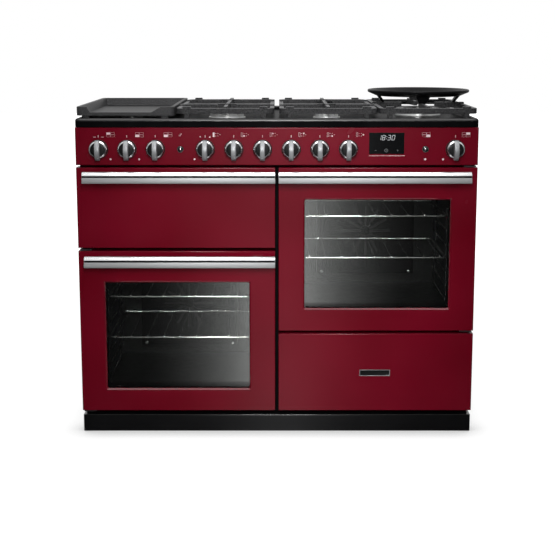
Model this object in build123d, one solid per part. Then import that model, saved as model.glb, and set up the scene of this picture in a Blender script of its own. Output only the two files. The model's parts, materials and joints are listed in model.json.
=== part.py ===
from build123d import *
import os

# Dual fuel range cooker, in millimetres.
# +X is the cooker's right seen from the front, the front faces -Y, +Z is up.
# The origin is on the floor, under the middle of the overall box. The pieces are drawn about the
# cooker's own middle and moved by ORIGIN_SHIFT at the end, because the wok ring overhangs one side.

# Overall
COOKER_WIDTH = 1092.0
BODY_DEPTH = 608.0
SHEET = 1.5
LINER_SHEET = 1.5

# Heights from the floor up
FOOT_HEIGHT = 46.0
BASE_HEIGHT = 15.0
PLINTH_CLEARANCE = 2.0
PLINTH_HEIGHT = 48.0
DOORS_BOTTOM = 63.0
SMALL_FRONT_HEIGHT = 222.0
OVEN_DOOR_HEIGHT = 455.5
DOOR_GAP = 8.5
PANEL_GAP = 6.5
PANEL_HEIGHT = 102.5
HOB_GAP = 1.0
HOB_HEIGHT = 23.0

# Fronts
DOOR_DEPTH = 38.0
SEAL_SPACE = 6.0
COLUMN_GAP = 9.5
FRONT_RECESS = 0.5
FRONT_EDGE_RADIUS = 2.5
PLINTH_RECESS = 4.0
WINDOW_SIDE_MARGIN = 67.375
WINDOW_HEIGHT = 312.0
WINDOW_SILL = 59.5
WINDOW_RETURN = 10.0
WINDOW_CORNER = 5.0
GLASS = 4.0
GLASS_LAP = 11.0
DOOR_LINER_DEPTH = 18.0
LINER_FIT = 0.3

# Handles
HANDLE_HEIGHT = 30.0
HANDLE_DEPTH = 18.0
HANDLE_STANDOFF = 32.0
HANDLE_INSET = 23.0
HANDLE_DROP = 8.0
HANDLE_RADIUS = 6.0
HANDLE_POST_WIDTH = 36.0
HANDLE_POST_HEIGHT = 18.0
HANDLE_POST_INSET = 50.0

# Hinges
HINGE_OFFSET = 11.0
HINGE_PLATE = 2.5
HINGE_CLEARANCE = 1.5
HINGE_ARM_HALF = 7.0
HINGE_ARM_REACH = 26.0
HINGE_PIN_RADIUS = 4.0
HINGE_PIN_FIT = 0.05
HINGE_PIN_LENGTH = 12.0
HINGE_NOTCH_CLEARANCE = 1.0

# Ovens, grill and drawer
OVEN_SIDE_MARGIN = 53.375
OVEN_HEIGHT = 350.0
OVEN_DEPTH = 410.0
OVEN_SILL = 38.0
GRILL_SIDE_MARGIN = 50.375
GRILL_HEIGHT = 150.0
GRILL_DEPTH = 400.0
GRILL_SILL = 42.0
BAY_SIDE_MARGIN = 30.375
BAY_HEIGHT = 190.0
BAY_DEPTH = 470.0
BAY_SILL = 14.0
CAVITY_FLANGE = 16.0
BAY_FLANGE = 8.0
SEAL_WIDTH = 9.0
SEAL_FIT = 0.3

# Oven furniture
WIRE = 3.0
SHELF_WIRE = 2.0
SHELF_WIRE_PITCH = 46.0
SHELF_WIRE_COUNT = 9
RACK_STANDOFF = 8.0
RACK_RAIL_OFFSET = 13.0
RACK_LEVELS = 7
RACK_FIRST_LEVEL = 30.0
RACK_PITCH = 39.5
RACK_END_CLEARANCE = 45.0
RACK_TAIL = 22.0
SHELF_LEVELS = (3, 6)
SHELF_REST = 0.3
SHELF_SIDE_CLEARANCE = 0.5
FAN_RADIUS = 75.0
FAN_BLADES = 8
FAN_BLADE_DEPTH = 22.0
FAN_HUB_RADIUS = 14.0
FAN_SHAFT_RADIUS = 4.0
FAN_SHAFT_FIT = 0.05
FAN_CLEARANCE = 12.0
FAN_COVER_WIDTH = 300.0
FAN_COVER_HEIGHT = 270.0
FAN_COVER_DEPTH = 50.0
FAN_SLOTS = 12
FAN_SLOT_WIDTH = 7.0
RING_ELEMENT_RADIUS = 95.0
ELEMENT_WIRE = 4.0
MOTOR_RADIUS = 38.0
MOTOR_LENGTH = 60.0
GRILL_ELEMENT_PASSES = 6
GRILL_ELEMENT_PITCH = 56.0
GRILL_ELEMENT_DROP = 18.0
GRILL_ELEMENT_REACH = 290.0
GRILL_PAN_CLEARANCE = 22.0
GRILL_PAN_DEPTH = 330.0
GRILL_PAN_HEIGHT = 38.0
GRILL_PAN_RIM = 14.0
GRILL_RUNNER_LEVEL = 62.0
GRILL_RUNNER_HEIGHT = 10.0
TRIVET_BARS = 8

# Drawer
DRAWER_BOX_HEIGHT = 120.0
DRAWER_BOX_DEPTH = 430.0
DRAWER_BOX_FLOOR = 16.0
DRAWER_BOX_CLEARANCE = 12.0
RUNNER_THICKNESS = 10.0
RUNNER_HEIGHT = 40.0
RUNNER_GROOVE_DEPTH = 6.0
RUNNER_GROOVE_HEIGHT = 24.0
RUNNER_RISE = 62.0
RUNNER_FIT = 0.5

# Controls
KNOB_DROP = 59.0
KNOB_RADIUS = 25.0
KNOB_FACE_RADIUS = 22.5
KNOB_SKIRT = 20.0
KNOB_CLEARANCE = 1.5
KNOB_REACH = 38.0
GRIP_WIDTH = 14.0
GRIP_TOP = 25.5
GRIP_BOTTOM = 26.5
HOB_KNOB_PITCH = 77.5
OUTER_KNOB_INSET = 63.0
OVEN_KNOB_PITCH = 77.0
SPINDLE_RADIUS = 4.0
SPINDLE_FIT = 0.05
SPINDLE_HOLE_CLEARANCE = 1.5
SPINDLE_GRIP = 12.0
TAP_WIDTH = 28.0
TAP_DEPTH = 34.0
TAP_FACE = 18.0
SWITCH_WIDTH = 40.0
SWITCH_DEPTH = 32.0
RAIL_SIZE = 20.0
RAIL_OVERRUN = 30.0
DRAWER_BUTTON_OFFSET = 80.5
BUTTON_RADIUS = 5.5
BUTTON_FIT = 0.05
BUTTON_REACH = 6.0
BUTTON_LENGTH = 22.0
BUTTON_TRAVEL = 3.0
BUTTON_END_CLEARANCE = 1.0
BEZEL_RADIUS = 8.5
BEZEL_HEIGHT = 2.5
BEZEL_SLEEVE_RADIUS = 7.5
BEZEL_FIT = 0.3
DISPLAY_OFFSET = 105.0
DISPLAY_WIDTH = 95.0
DISPLAY_HEIGHT = 58.0
DISPLAY_DROP = 14.0
DISPLAY_PROUD = 0.6
DISPLAY_LAP = 4.0
DISPLAY_DEPTH = 14.0
DISPLAY_FIT = 0.2

# Hob
HOB_OVERHANG = 2.0
HOB_CORNER_RADIUS = 16.0
HOB_EDGE_RADIUS = 7.0
HOB_RIM = 16.0
HOB_WELL = 8.0
HOB_BACK_LEDGE = 74.0
VENT_SLOTS = 12
VENT_SLOT_WIDTH = 56.0
VENT_SLOT_DEPTH = 9.0
VENT_PITCH = 82.0
SUPPORT_DEPTH = 478.0
SUPPORT_SIDE_INSET = 1.0
SUPPORT_FRONT = 26.0
SUPPORT_GAP = 6.0
SUPPORT_CENTRE_GAP = 14.0
SUPPORT_BAR = 12.0
SUPPORT_BAR_HEIGHT = 15.0
SUPPORT_RISE = 19.0
SUPPORT_CORNER = 18.0
SUPPORT_LUG = 4.5
SUPPORT_LUG_LENGTH = 22.0
SUPPORT_FOOT = 14.0
FINGER_WIDTH = 10.0
FINGER_TIP_HEIGHT = 13.0
FINGER_TIP_RADIUS = 26.0
WOK_FINGER_TIP_RADIUS = 48.0
BURNER_SPACING = 236.0
BURNER_FLANGE = 4.0
BURNER_HEAD_HEIGHT = 12.0
BURNER_CAP_HEIGHT = 5.0
BURNER_STEM = 12.0
BURNER_STEM_FIT = 0.5
LARGE_BURNER = 52.0
MEDIUM_BURNER = 38.0
SMALL_BURNER = 30.0
WOK_BURNER = 66.0
WOK_GROOVE = 10.0
FLAME_PORTS = 14
FLAME_PORT_WIDTH = 4.0
FLAME_PORT_DEPTH = 5.0
GRIDDLE_BURNER_LENGTH = 250.0
GRIDDLE_BURNER_WIDTH = 60.0
GRIDDLE_BURNER_HEAD = 4.0
GRIDDLE_HEIGHT = 38.0
GRIDDLE_WALL = 9.0
GRIDDLE_FLOOR = 5.5
GRIDDLE_POCKET = 22.0
GRIDDLE_EDGE = 2.0
GRIDDLE_FOOT = 18.0
GRIDDLE_FOOT_CLEARANCE = 2.0
GRIDDLE_CORNER = 14.0
GRIDDLE_TAPER = 20.0
SCOOP_LEFT = -104.0
SCOOP_RIGHT = 97.0
SCOOP_DEPTH = 15.0
SCOOP_LEFT_SLOPE = 9.0
SCOOP_RIGHT_SLOPE = 26.0
WOK_TOP_RADIUS = 147.0
WOK_BOTTOM_RADIUS = 122.0
WOK_WALL = 8.0
WOK_BAND = 18.0
WOK_RISE = 37.0
WOK_REST = 0.3
WOK_LEG_THICKNESS = 10.0
WOK_LEG_TOP = 64.0
WOK_LEG_FOOT = 26.0
WOK_LEG_FOOT_RADIUS = 102.0

# Feet and rear services
FOOT_RADIUS = 20.0
FOOT_PAD = 12.0
FOOT_STEM = 5.0
FOOT_STEM_FIT = 0.3
FOOT_NUT = 9.0
FOOT_NUT_HEIGHT = 8.0
FOOT_INSET = 60.0
PANEL_FLANGE = 18.0
SIDE_RECESS = 4.0
LOUVRE_ROWS = 2
LOUVRES = 10
LOUVRE_WIDTH = 60.0
LOUVRE_HEIGHT = 8.0
LOUVRE_PITCH = 90.0
LOUVRE_ROW_PITCH = 30.0
LOUVRE_TOP = 190.0
GAS_PIPE_RADIUS = 8.0
GAS_INLET_RADIUS = 10.475
GAS_INLET_LENGTH = 24.0
GAS_INLET_RECESS = 6.0
GAS_INLET_INSET = 42.0
GAS_INLET_CLEARANCE = 22.0
CABLE_BORE_RADIUS = 11.0
CABLE_INSET = 102.0
CABLE_Z = 110.0

# Derived places
HANDLE_REACH = HANDLE_STANDOFF + HANDLE_DEPTH
BACK_Y = (BODY_DEPTH + HANDLE_REACH) / 2
FACE_Y = BACK_Y - BODY_DEPTH
DOOR_BACK_Y = FACE_Y + DOOR_DEPTH
FRAME_Y = DOOR_BACK_Y + SEAL_SPACE
CAVITY_Y = FRAME_Y + SHEET
HINGE_Y = FACE_Y + HINGE_OFFSET
SIDE_X = COOKER_WIDTH / 2 - SIDE_RECESS
INNER_X = SIDE_X - SHEET
BASE_TOP = FOOT_HEIGHT + BASE_HEIGHT
PLINTH_TOP = PLINTH_CLEARANCE + PLINTH_HEIGHT
FRONT_WIDTH = COOKER_WIDTH - 2 * FRONT_RECESS
DOOR_WIDTH = (FRONT_WIDTH - COLUMN_GAP) / 2
WINDOW_WIDTH = DOOR_WIDTH - 2 * WINDOW_SIDE_MARGIN
OVEN_WIDTH = DOOR_WIDTH - 2 * OVEN_SIDE_MARGIN
GRILL_WIDTH = DOOR_WIDTH - 2 * GRILL_SIDE_MARGIN
GRILL_PAN_WIDTH = GRILL_WIDTH - 2 * GRILL_PAN_CLEARANCE
BAY_WIDTH = DOOR_WIDTH - 2 * BAY_SIDE_MARGIN
COLUMN_X = (DOOR_WIDTH + COLUMN_GAP) / 2
DOORS_TOP = DOORS_BOTTOM + SMALL_FRONT_HEIGHT + DOOR_GAP + OVEN_DOOR_HEIGHT
PANEL_Z = (DOORS_TOP + PANEL_GAP, DOORS_TOP + PANEL_GAP + PANEL_HEIGHT)
HOB_Z = (PANEL_Z[1] + HOB_GAP, PANEL_Z[1] + HOB_GAP + HOB_HEIGHT)
WELL_Z = HOB_Z[1] - HOB_WELL
HOB_UNDERSIDE = WELL_Z - LINER_SHEET
HOB_FRONT_Y = FACE_Y - HOB_OVERHANG
KNOB_Z = PANEL_Z[1] - KNOB_DROP
GRILL_DOOR_Z = (DOORS_TOP - SMALL_FRONT_HEIGHT, DOORS_TOP)
DRAWER_Z = (DOORS_BOTTOM, DOORS_BOTTOM + SMALL_FRONT_HEIGHT)
LEFT_OVEN_DOOR_Z = (DOORS_BOTTOM, DOORS_BOTTOM + OVEN_DOOR_HEIGHT)
RIGHT_OVEN_DOOR_Z = (DOORS_TOP - OVEN_DOOR_HEIGHT, DOORS_TOP)
SUPPORT_Y = HOB_FRONT_Y + SUPPORT_FRONT + SUPPORT_DEPTH / 2
SUPPORT_WIDTH = (COOKER_WIDTH - 2 * SUPPORT_SIDE_INSET - 2 * SUPPORT_GAP - SUPPORT_CENTRE_GAP) / 4
INNER_SUPPORT_X = (SUPPORT_CENTRE_GAP + SUPPORT_WIDTH) / 2
OUTER_SUPPORT_X = INNER_SUPPORT_X + SUPPORT_WIDTH + SUPPORT_GAP
BAR_Z = (WELL_Z + SUPPORT_RISE, WELL_Z + SUPPORT_RISE + SUPPORT_BAR_HEIGHT)
SUPPORT_TOP = BAR_Z[1] + SUPPORT_LUG
OUTER_KNOB_X = FRONT_WIDTH / 2 - OUTER_KNOB_INSET
GAS_KNOB_XS = [(i - 2.5) * HOB_KNOB_PITCH for i in range(6)]
OVEN_KNOB_XS = [i * OVEN_KNOB_PITCH - OUTER_KNOB_X for i in range(3)] + [OUTER_KNOB_X]
IGNITION_X = (OVEN_KNOB_XS[2] + GAS_KNOB_XS[0]) / 2
DRAWER_BUTTON_X = OUTER_KNOB_X - DRAWER_BUTTON_OFFSET
DISPLAY_X = DRAWER_BUTTON_X - DISPLAY_OFFSET
GAS_INLET_X = SIDE_X - GAS_INLET_INSET
CABLE_X = CABLE_INSET - SIDE_X
SPINDLE_END = FACE_Y + TAP_FACE + SPINDLE_GRIP
WOK_OVERHANG = max(0.0, OUTER_SUPPORT_X + WOK_TOP_RADIUS - COOKER_WIDTH / 2)
ORIGIN_SHIFT = -WOK_OVERHANG / 2
SIDES = {"left": -1, "right": 1}
BURNERS = {
    "front left centre": (-INNER_SUPPORT_X, SUPPORT_Y - BURNER_SPACING / 2, LARGE_BURNER),
    "rear left centre": (-INNER_SUPPORT_X, SUPPORT_Y + BURNER_SPACING / 2, MEDIUM_BURNER),
    "rear right centre": (INNER_SUPPORT_X, SUPPORT_Y + BURNER_SPACING / 2, SMALL_BURNER),
    "front right centre": (INNER_SUPPORT_X, SUPPORT_Y - BURNER_SPACING / 2, MEDIUM_BURNER),
    "wok": (OUTER_SUPPORT_X, SUPPORT_Y, WOK_BURNER),
}

BOTTOM = (Align.CENTER, Align.CENTER, Align.MIN)


def about(centre, size):
    return (centre - size / 2, centre + size / 2)


def inset(pair, margin):
    return (pair[0] + margin, pair[1] - margin)


def span(x, y, z):
    """A block between three (low, high) pairs."""
    place = Pos(sum(x) / 2, sum(y) / 2, sum(z) / 2)
    return place * Box(x[1] - x[0], y[1] - y[0], z[1] - z[0])


def tray(x, y, z, wall, open_side):
    """A folded box with one face left open: open_side is one of -y, +y, -z, +z."""
    pairs = {"x": list(inset(x, wall)), "y": list(inset(y, wall)), "z": list(inset(z, wall))}
    sign, axis = open_side
    end = 1 if sign == "+" else 0
    pairs[axis][end] += 2 * wall if end else -2 * wall
    return span(x, y, z) - span(pairs["x"], pairs["y"], pairs["z"])


def rod(axis, start, length, radius, sides=0):
    """A round bar, or a prism with that many sides, from start along +X, +Y or +Z."""
    turn = {"x": Rot(0, 90, 0), "y": Rot(-90, 0, 0), "z": Rot(0, 0, 0)}[axis]
    if sides:
        return Pos(*start) * turn * extrude(RegularPolygon(radius, sides), length)
    return Pos(*start) * turn * Cylinder(radius, length, align=BOTTOM)


def union(shapes):
    shapes = list(shapes)
    return shapes[0].fuse(*shapes[1:]) if len(shapes) > 1 else shapes[0]


def front_pan(x, z, depth):
    """A folded sheet front, open at the back, with softened front edges."""
    block = span(x, (FACE_Y, FACE_Y + depth), z)
    block = fillet(block.edges().group_by(Axis.Y)[0], FRONT_EDGE_RADIUS)
    return block - span(inset(x, SHEET), (FACE_Y + SHEET, FACE_Y + depth + SHEET), inset(z, SHEET))


def rounded_prism_y(x, y, z, radius):
    """A prism along Y with rounded corners in X and Z."""
    outline = RectangleRounded(x[1] - x[0], z[1] - z[0], radius)
    return Pos(sum(x) / 2, y[1], sum(z) / 2) * Rot(90, 0, 0) * extrude(outline, y[1] - y[0])


# Chassis

def foot_places():
    xs = (-SIDE_X + FOOT_INSET, SIDE_X - FOOT_INSET)
    ys = (FRAME_Y + FOOT_INSET, BACK_Y - FOOT_INSET)
    return [(x, y) for x in xs for y in ys]


def base_frame():
    pan = tray((-INNER_X, INNER_X), (FRAME_Y, BACK_Y - SHEET), (FOOT_HEIGHT, BASE_TOP), LINER_SHEET, "-z")
    for x, y in foot_places():
        pan -= rod("z", (x, y, FOOT_HEIGHT), 2 * BASE_HEIGHT, FOOT_STEM + FOOT_STEM_FIT)
    return pan


def levelling_feet():
    plate_z = BASE_TOP - LINER_SHEET
    feet = []
    for x, y in foot_places():
        pad = rod("z", (x, y, 0), FOOT_PAD, FOOT_RADIUS)
        stem = rod("z", (x, y, FOOT_PAD), BASE_TOP - FOOT_PAD, FOOT_STEM)
        nut = rod("z", (x, y, plate_z - FOOT_NUT_HEIGHT), FOOT_NUT_HEIGHT, FOOT_NUT, 6)
        feet.append(union([pad, stem, nut]))
    return feet


def plinth():
    half = FRONT_WIDTH / 2 - SHEET
    z = (PLINTH_CLEARANCE, PLINTH_TOP)
    block = tray((-half, half), (FACE_Y + PLINTH_RECESS, FRAME_Y + SHEET), z, SHEET, "-z")
    return block - span((-INNER_X, INNER_X), (FRAME_Y, FRAME_Y + 2 * SHEET), (0, 2 * PLINTH_TOP)) \
        - span((-COOKER_WIDTH, COOKER_WIDTH), (FRAME_Y, BACK_Y), (0, 2 * PLINTH_TOP))


def side_panel(sign):
    x = sorted((sign * (SIDE_X - PANEL_FLANGE), sign * SIDE_X))
    y = (FRAME_Y + SHEET, BACK_Y - SHEET)
    z = (FOOT_HEIGHT, HOB_UNDERSIDE)
    inner_x = sorted((sign * (SIDE_X - 2 * PANEL_FLANGE), sign * INNER_X))
    web = span(x, y, z) - span(inner_x, inset(y, SHEET), (0, 2 * HOB_UNDERSIDE))
    web -= span(x, (BACK_Y - HOB_CORNER_RADIUS, BACK_Y), (HOB_Z[0], HOB_Z[1]))
    return web - span((-INNER_X, INNER_X), (FRAME_Y, BACK_Y), (0, BASE_TOP))


def rear_panel():
    panel = span((-SIDE_X, SIDE_X), (BACK_Y - SHEET, BACK_Y), (FOOT_HEIGHT, HOB_Z[0]))
    for row in range(LOUVRE_ROWS):
        z = about(HOB_Z[0] - LOUVRE_TOP - row * LOUVRE_ROW_PITCH, LOUVRE_HEIGHT)
        for column in range(LOUVRES):
            x = about((column - (LOUVRES - 1) / 2) * LOUVRE_PITCH, LOUVRE_WIDTH)
            panel -= span(x, (BACK_Y - 2 * SHEET, BACK_Y + SHEET), z)
    panel -= rod("y", (GAS_INLET_X, BACK_Y - 2 * SHEET, KNOB_Z), 4 * SHEET,
                 GAS_INLET_RADIUS + GAS_INLET_CLEARANCE)
    panel -= rod("y", (CABLE_X, BACK_Y - 2 * SHEET, CABLE_Z), 4 * SHEET, CABLE_BORE_RADIUS)
    return panel


def cavity_box(name):
    """Inside of an oven, the grill or the drawer bay, as three (low, high) pairs."""
    width, height, depth, sill, sign, door_z = {
        "left oven": (OVEN_WIDTH, OVEN_HEIGHT, OVEN_DEPTH, OVEN_SILL, -1, LEFT_OVEN_DOOR_Z),
        "right oven": (OVEN_WIDTH, OVEN_HEIGHT, OVEN_DEPTH, OVEN_SILL, 1, RIGHT_OVEN_DOOR_Z),
        "grill": (GRILL_WIDTH, GRILL_HEIGHT, GRILL_DEPTH, GRILL_SILL, -1, GRILL_DOOR_Z),
        "drawer": (BAY_WIDTH, BAY_HEIGHT, BAY_DEPTH, BAY_SILL, 1, DRAWER_Z),
    }[name]
    floor = door_z[0] + sill
    return about(sign * COLUMN_X, width), (CAVITY_Y, CAVITY_Y + depth), (floor, floor + height)


def front_frame():
    frame = span((-INNER_X, INNER_X), (FRAME_Y, CAVITY_Y), (BASE_TOP, PANEL_Z[1]))
    through = (FRAME_Y - SHEET, CAVITY_Y + SHEET)
    for name in ("left oven", "right oven", "grill", "drawer"):
        x, _, z = cavity_box(name)
        frame -= span(x, through, z)
    reach = OUTER_KNOB_X + SWITCH_WIDTH / 2 + DISPLAY_LAP
    return frame - span((-reach, reach), through, inset(PANEL_Z, CAVITY_FLANGE / 2))


def cavity(name):
    x, y, z = cavity_box(name)
    wall = LINER_SHEET
    outer = span(inset(x, -wall), (y[0], y[1] + wall), inset(z, -wall))
    flange = span(inset(x, -CAVITY_FLANGE), (y[0], y[0] + wall), inset(z, -CAVITY_FLANGE))
    if name == "drawer":
        flange = span(inset(x, -BAY_FLANGE), (y[0], y[0] + wall), inset(z, -wall))
    liner = outer + flange - span(x, (y[0] - wall, y[1]), z)
    if "oven" in name:
        hole = FAN_SHAFT_RADIUS * 2
        liner -= rod("y", (sum(x) / 2, y[1] - wall, sum(z) / 2), 3 * wall, hole)
    return liner


def door_seal(name):
    x, _, z = cavity_box(name)
    y = (DOOR_BACK_Y + SEAL_FIT, FRAME_Y)
    outer = rounded_prism_y(inset(x, -SEAL_WIDTH), y, inset(z, -SEAL_WIDTH), 2 * SEAL_WIDTH)
    return outer - rounded_prism_y(x, inset(y, -SHEET), z, SEAL_WIDTH)


# Oven, grill and drawer furniture

def rail_level(z, level):
    return z[0] + RACK_FIRST_LEVEL + level * RACK_PITCH


def ladder_rack(name, sign):
    """Two uprights pinned to one side wall, with the rails that carry the shelves."""
    x, y, z = cavity_box(name)
    wall_x = x[0] if sign < 0 else x[1]
    upright_x = wall_x - sign * RACK_STANDOFF
    rail_x = wall_x - sign * RACK_RAIL_OFFSET
    rail_y = (y[0] + RACK_END_CLEARANCE, y[1] - FAN_COVER_DEPTH - RACK_END_CLEARANCE)
    uprights = inset(rail_y, RACK_TAIL)
    upright_z = (rail_level(z, 0) - RACK_TAIL, rail_level(z, RACK_LEVELS - 1) + RACK_TAIL)
    bars = []
    for upright_y in uprights:
        start = (upright_x, upright_y, upright_z[0])
        bars.append(rod("z", start, upright_z[1] - upright_z[0], WIRE, 6))
        for pin_z in inset(upright_z, WIRE):
            start = (min(wall_x, upright_x), upright_y, pin_z)
            bars.append(rod("x", start, RACK_STANDOFF, WIRE, 6))
    for level in range(RACK_LEVELS):
        start = (rail_x, rail_y[0], rail_level(z, level))
        bars.append(rod("y", start, rail_y[1] - rail_y[0], WIRE, 6))
    return union(bars)


def oven_shelf(name, level):
    """A welded wire shelf lying on one pair of rails."""
    x, y, z = cavity_box(name)
    x = inset(x, RACK_STANDOFF + 2 * WIRE + SHELF_SIDE_CLEARANCE)
    y = (y[0] + RACK_END_CLEARANCE / 2, y[1] - FAN_COVER_DEPTH - RACK_END_CLEARANCE / 2)
    rod_z = rail_level(z, level) + 2 * WIRE + SHELF_REST
    width = x[1] - x[0]
    depth = y[1] - y[0]
    bars = [rod("y", (side, y[0], rod_z), depth, WIRE, 6) for side in x]
    bars += [rod("x", (x[0], end, rod_z), width, WIRE, 6) for end in inset(y, WIRE)]
    for i in range(SHELF_WIRE_COUNT):
        wire_x = sum(x) / 2 + (i - (SHELF_WIRE_COUNT - 1) / 2) * SHELF_WIRE_PITCH
        bars.append(rod("y", (wire_x, y[0], rod_z + WIRE), depth, SHELF_WIRE, 6))
    return union(bars)


def fan_centre(name):
    x, y, z = cavity_box(name)
    return sum(x) / 2, y[1], sum(z) / 2


def fan_cover(name):
    x, y, z = fan_centre(name)
    cover = tray(about(x, FAN_COVER_WIDTH), (y - FAN_COVER_DEPTH, y), about(z, FAN_COVER_HEIGHT), SHEET, "+y")
    slot_length = FAN_RADIUS - FAN_HUB_RADIUS
    slot = span((FAN_HUB_RADIUS, FAN_HUB_RADIUS + slot_length), about(0, 4 * SHEET), about(0, FAN_SLOT_WIDTH))
    place = Pos(x, y - FAN_COVER_DEPTH, z)
    for i in range(FAN_SLOTS):
        cover -= place * Rot(0, i * 360 / FAN_SLOTS, 0) * slot
    return cover


def oven_fan(name):
    x, y, z = fan_centre(name)
    back = y - FAN_CLEARANCE
    hub = rod("y", (x, back - FAN_BLADE_DEPTH, z), FAN_BLADE_DEPTH, FAN_HUB_RADIUS)
    shaft = rod("y", (x, back, z), FAN_CLEARANCE + LINER_SHEET + MOTOR_LENGTH / 2, FAN_SHAFT_RADIUS)
    reach = (FAN_HUB_RADIUS - SHEET, FAN_RADIUS)
    blade = span(reach, (-FAN_BLADE_DEPTH, 0), about(0, SHEET))
    blades = [Pos(x, back, z) * Rot(0, i * 360 / FAN_BLADES, 0) * blade for i in range(FAN_BLADES)]
    return union([hub, shaft, *blades])


def fan_motor(name):
    x, y, z = fan_centre(name)
    start = y + LINER_SHEET
    body = rod("y", (x, start, z), MOTOR_LENGTH, MOTOR_RADIUS)
    bore_length = MOTOR_LENGTH / 2 + SHEET
    return body - rod("y", (x, start - SHEET, z), SHEET + bore_length, FAN_SHAFT_RADIUS + FAN_SHAFT_FIT)


def ring_element(name):
    x, y, z = fan_centre(name)
    middle = y - FAN_COVER_DEPTH / 2
    profile = Pos(RING_ELEMENT_RADIUS, 0) * RegularPolygon(ELEMENT_WIRE, 6)
    ring = Pos(x, middle, z) * Rot(90, 0, 0) * revolve(Plane.XZ * profile, Axis.Z)
    posts = [rod("y", (x + side * RING_ELEMENT_RADIUS, middle, z), y - middle, ELEMENT_WIRE, 6)
             for side in (-1, 1)]
    return union([ring, *posts])


def grill_element():
    """One bent rod under the grill roof, hung from the back wall by its two ends."""
    x, y, z = cavity_box("grill")
    level = z[1] - GRILL_ELEMENT_DROP
    front = y[1] - GRILL_ELEMENT_REACH
    turn = GRILL_ELEMENT_PITCH / 2
    first = sum(x) / 2 - (GRILL_ELEMENT_PASSES - 1) / 2 * GRILL_ELEMENT_PITCH
    points = []
    for i in range(GRILL_ELEMENT_PASSES):
        pass_x = first + i * GRILL_ELEMENT_PITCH
        ends = [y[1] - GRILL_ELEMENT_PITCH, front]
        if i % 2:
            ends.reverse()
        points += [(pass_x, end, level) for end in ends]
    points[0] = (points[0][0], y[1], level)
    points[-1] = (points[-1][0], y[1], level)
    path = FilletPolyline(*points, radius=turn * 0.9)
    return sweep(Plane(path @ 0, z_dir=path % 0) * RegularPolygon(ELEMENT_WIRE, 6), path=path)


def grill_runner(sign):
    x, y, z = cavity_box("grill")
    wall_x = x[0] if sign < 0 else x[1]
    pan_edge = sum(x) / 2 + sign * GRILL_PAN_WIDTH / 2
    width = sorted((wall_x, pan_edge - sign * GRILL_PAN_RIM / 2))
    level = z[0] + GRILL_RUNNER_LEVEL
    return span(width, inset(y, GRILL_PAN_RIM), (level - GRILL_RUNNER_HEIGHT, level))


def grill_pan_box():
    x, y, z = cavity_box("grill")
    top = z[0] + GRILL_RUNNER_LEVEL + SHEET
    front = y[0] + GRILL_PAN_RIM
    return about(sum(x) / 2, GRILL_PAN_WIDTH), (front, front + GRILL_PAN_DEPTH), (top - GRILL_PAN_HEIGHT, top)


def grill_pan():
    """A pressed pan that hangs on the runners by its rim."""
    x, y, z = grill_pan_box()
    rim = GRILL_PAN_RIM
    bowl = tray(inset(x, rim), inset(y, rim), z, SHEET, "+z")
    lip = span(x, y, (z[1] - SHEET, z[1])) - span(inset(x, rim), inset(y, rim), inset(z, -SHEET))
    return bowl + lip


def grill_trivet():
    """A wire rack standing on the floor of the grill pan."""
    x, y, z = grill_pan_box()
    x = inset(x, 2 * GRILL_PAN_RIM)
    y = inset(y, 2 * GRILL_PAN_RIM)
    floor = z[0] + SHEET
    level = z[1] - 2 * WIRE
    bars = [rod("x", (x[0], end, level), x[1] - x[0], WIRE, 6) for end in y]
    for i in range(TRIVET_BARS):
        bar_x = x[0] + WIRE + i * (x[1] - x[0] - 2 * WIRE) / (TRIVET_BARS - 1)
        bars.append(rod("y", (bar_x, y[0], level), y[1] - y[0], SHELF_WIRE, 6))
    legs = [(leg_x, leg_y) for leg_x in inset(x, 2 * WIRE) for leg_y in y]
    bars += [rod("z", (leg_x, leg_y, floor), level - floor, WIRE, 6) for leg_x, leg_y in legs]
    return union(bars)


def runner_places():
    """Each side's bay wall, with the sign that points at that wall."""
    x, _, z = cavity_box("drawer")
    return [(-1, x[0]), (1, x[1])], z[0] + RUNNER_RISE


def drawer_runners():
    sides, level = runner_places()
    _, y, _ = cavity_box("drawer")
    runners = []
    for sign, wall_x in sides:
        inner_x = wall_x - sign * RUNNER_THICKNESS
        bar = span(sorted((wall_x, inner_x)), (y[0], y[1] - SHEET), about(level, RUNNER_HEIGHT))
        groove_x = sorted((inner_x - sign * SHEET, inner_x + sign * RUNNER_GROOVE_DEPTH))
        runners.append(bar - span(groove_x, inset(y, -SHEET), about(level, RUNNER_GROOVE_HEIGHT)))
    return runners


def drawer_box_sides():
    x, _, z = cavity_box("drawer")
    floor = z[0] + DRAWER_BOX_FLOOR
    y = (DOOR_BACK_Y, DOOR_BACK_Y + DRAWER_BOX_DEPTH)
    return inset(x, DRAWER_BOX_CLEARANCE), y, (floor, floor + DRAWER_BOX_HEIGHT)


def drawer_box():
    x, y, z = drawer_box_sides()
    return tray(x, y, z, SHEET, "+z")


def drawer_slides():
    sides, level = runner_places()
    box_x, y, _ = drawer_box_sides()
    slides = []
    for sign, wall_x in sides:
        groove_end = wall_x - sign * (RUNNER_THICKNESS - RUNNER_GROOVE_DEPTH + RUNNER_FIT)
        box_side = box_x[0] if sign < 0 else box_x[1]
        slide_x = sorted((box_side, groove_end))
        slide_z = about(level, RUNNER_GROOVE_HEIGHT - 2 * RUNNER_FIT)
        slides.append(span(slide_x, (CAVITY_Y + SHEET, y[1]), slide_z))
    return slides


def drawer_front():
    return closed_front(1, DRAWER_Z)


# Doors

def column(sign):
    return about(sign * COLUMN_X, DOOR_WIDTH)


def closed_front(sign, z):
    """A pan front with a back plate folded in, for the drawer."""
    pan = front_pan(column(sign), z, DOOR_DEPTH)
    back = span(inset(column(sign), SHEET), (DOOR_BACK_Y - SHEET, DOOR_BACK_Y), inset(z, SHEET))
    return pan + back


def window(sign, z):
    sill = z[0] + WINDOW_SILL
    return about(sign * COLUMN_X, WINDOW_WIDTH), (sill, sill + WINDOW_HEIGHT)


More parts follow.
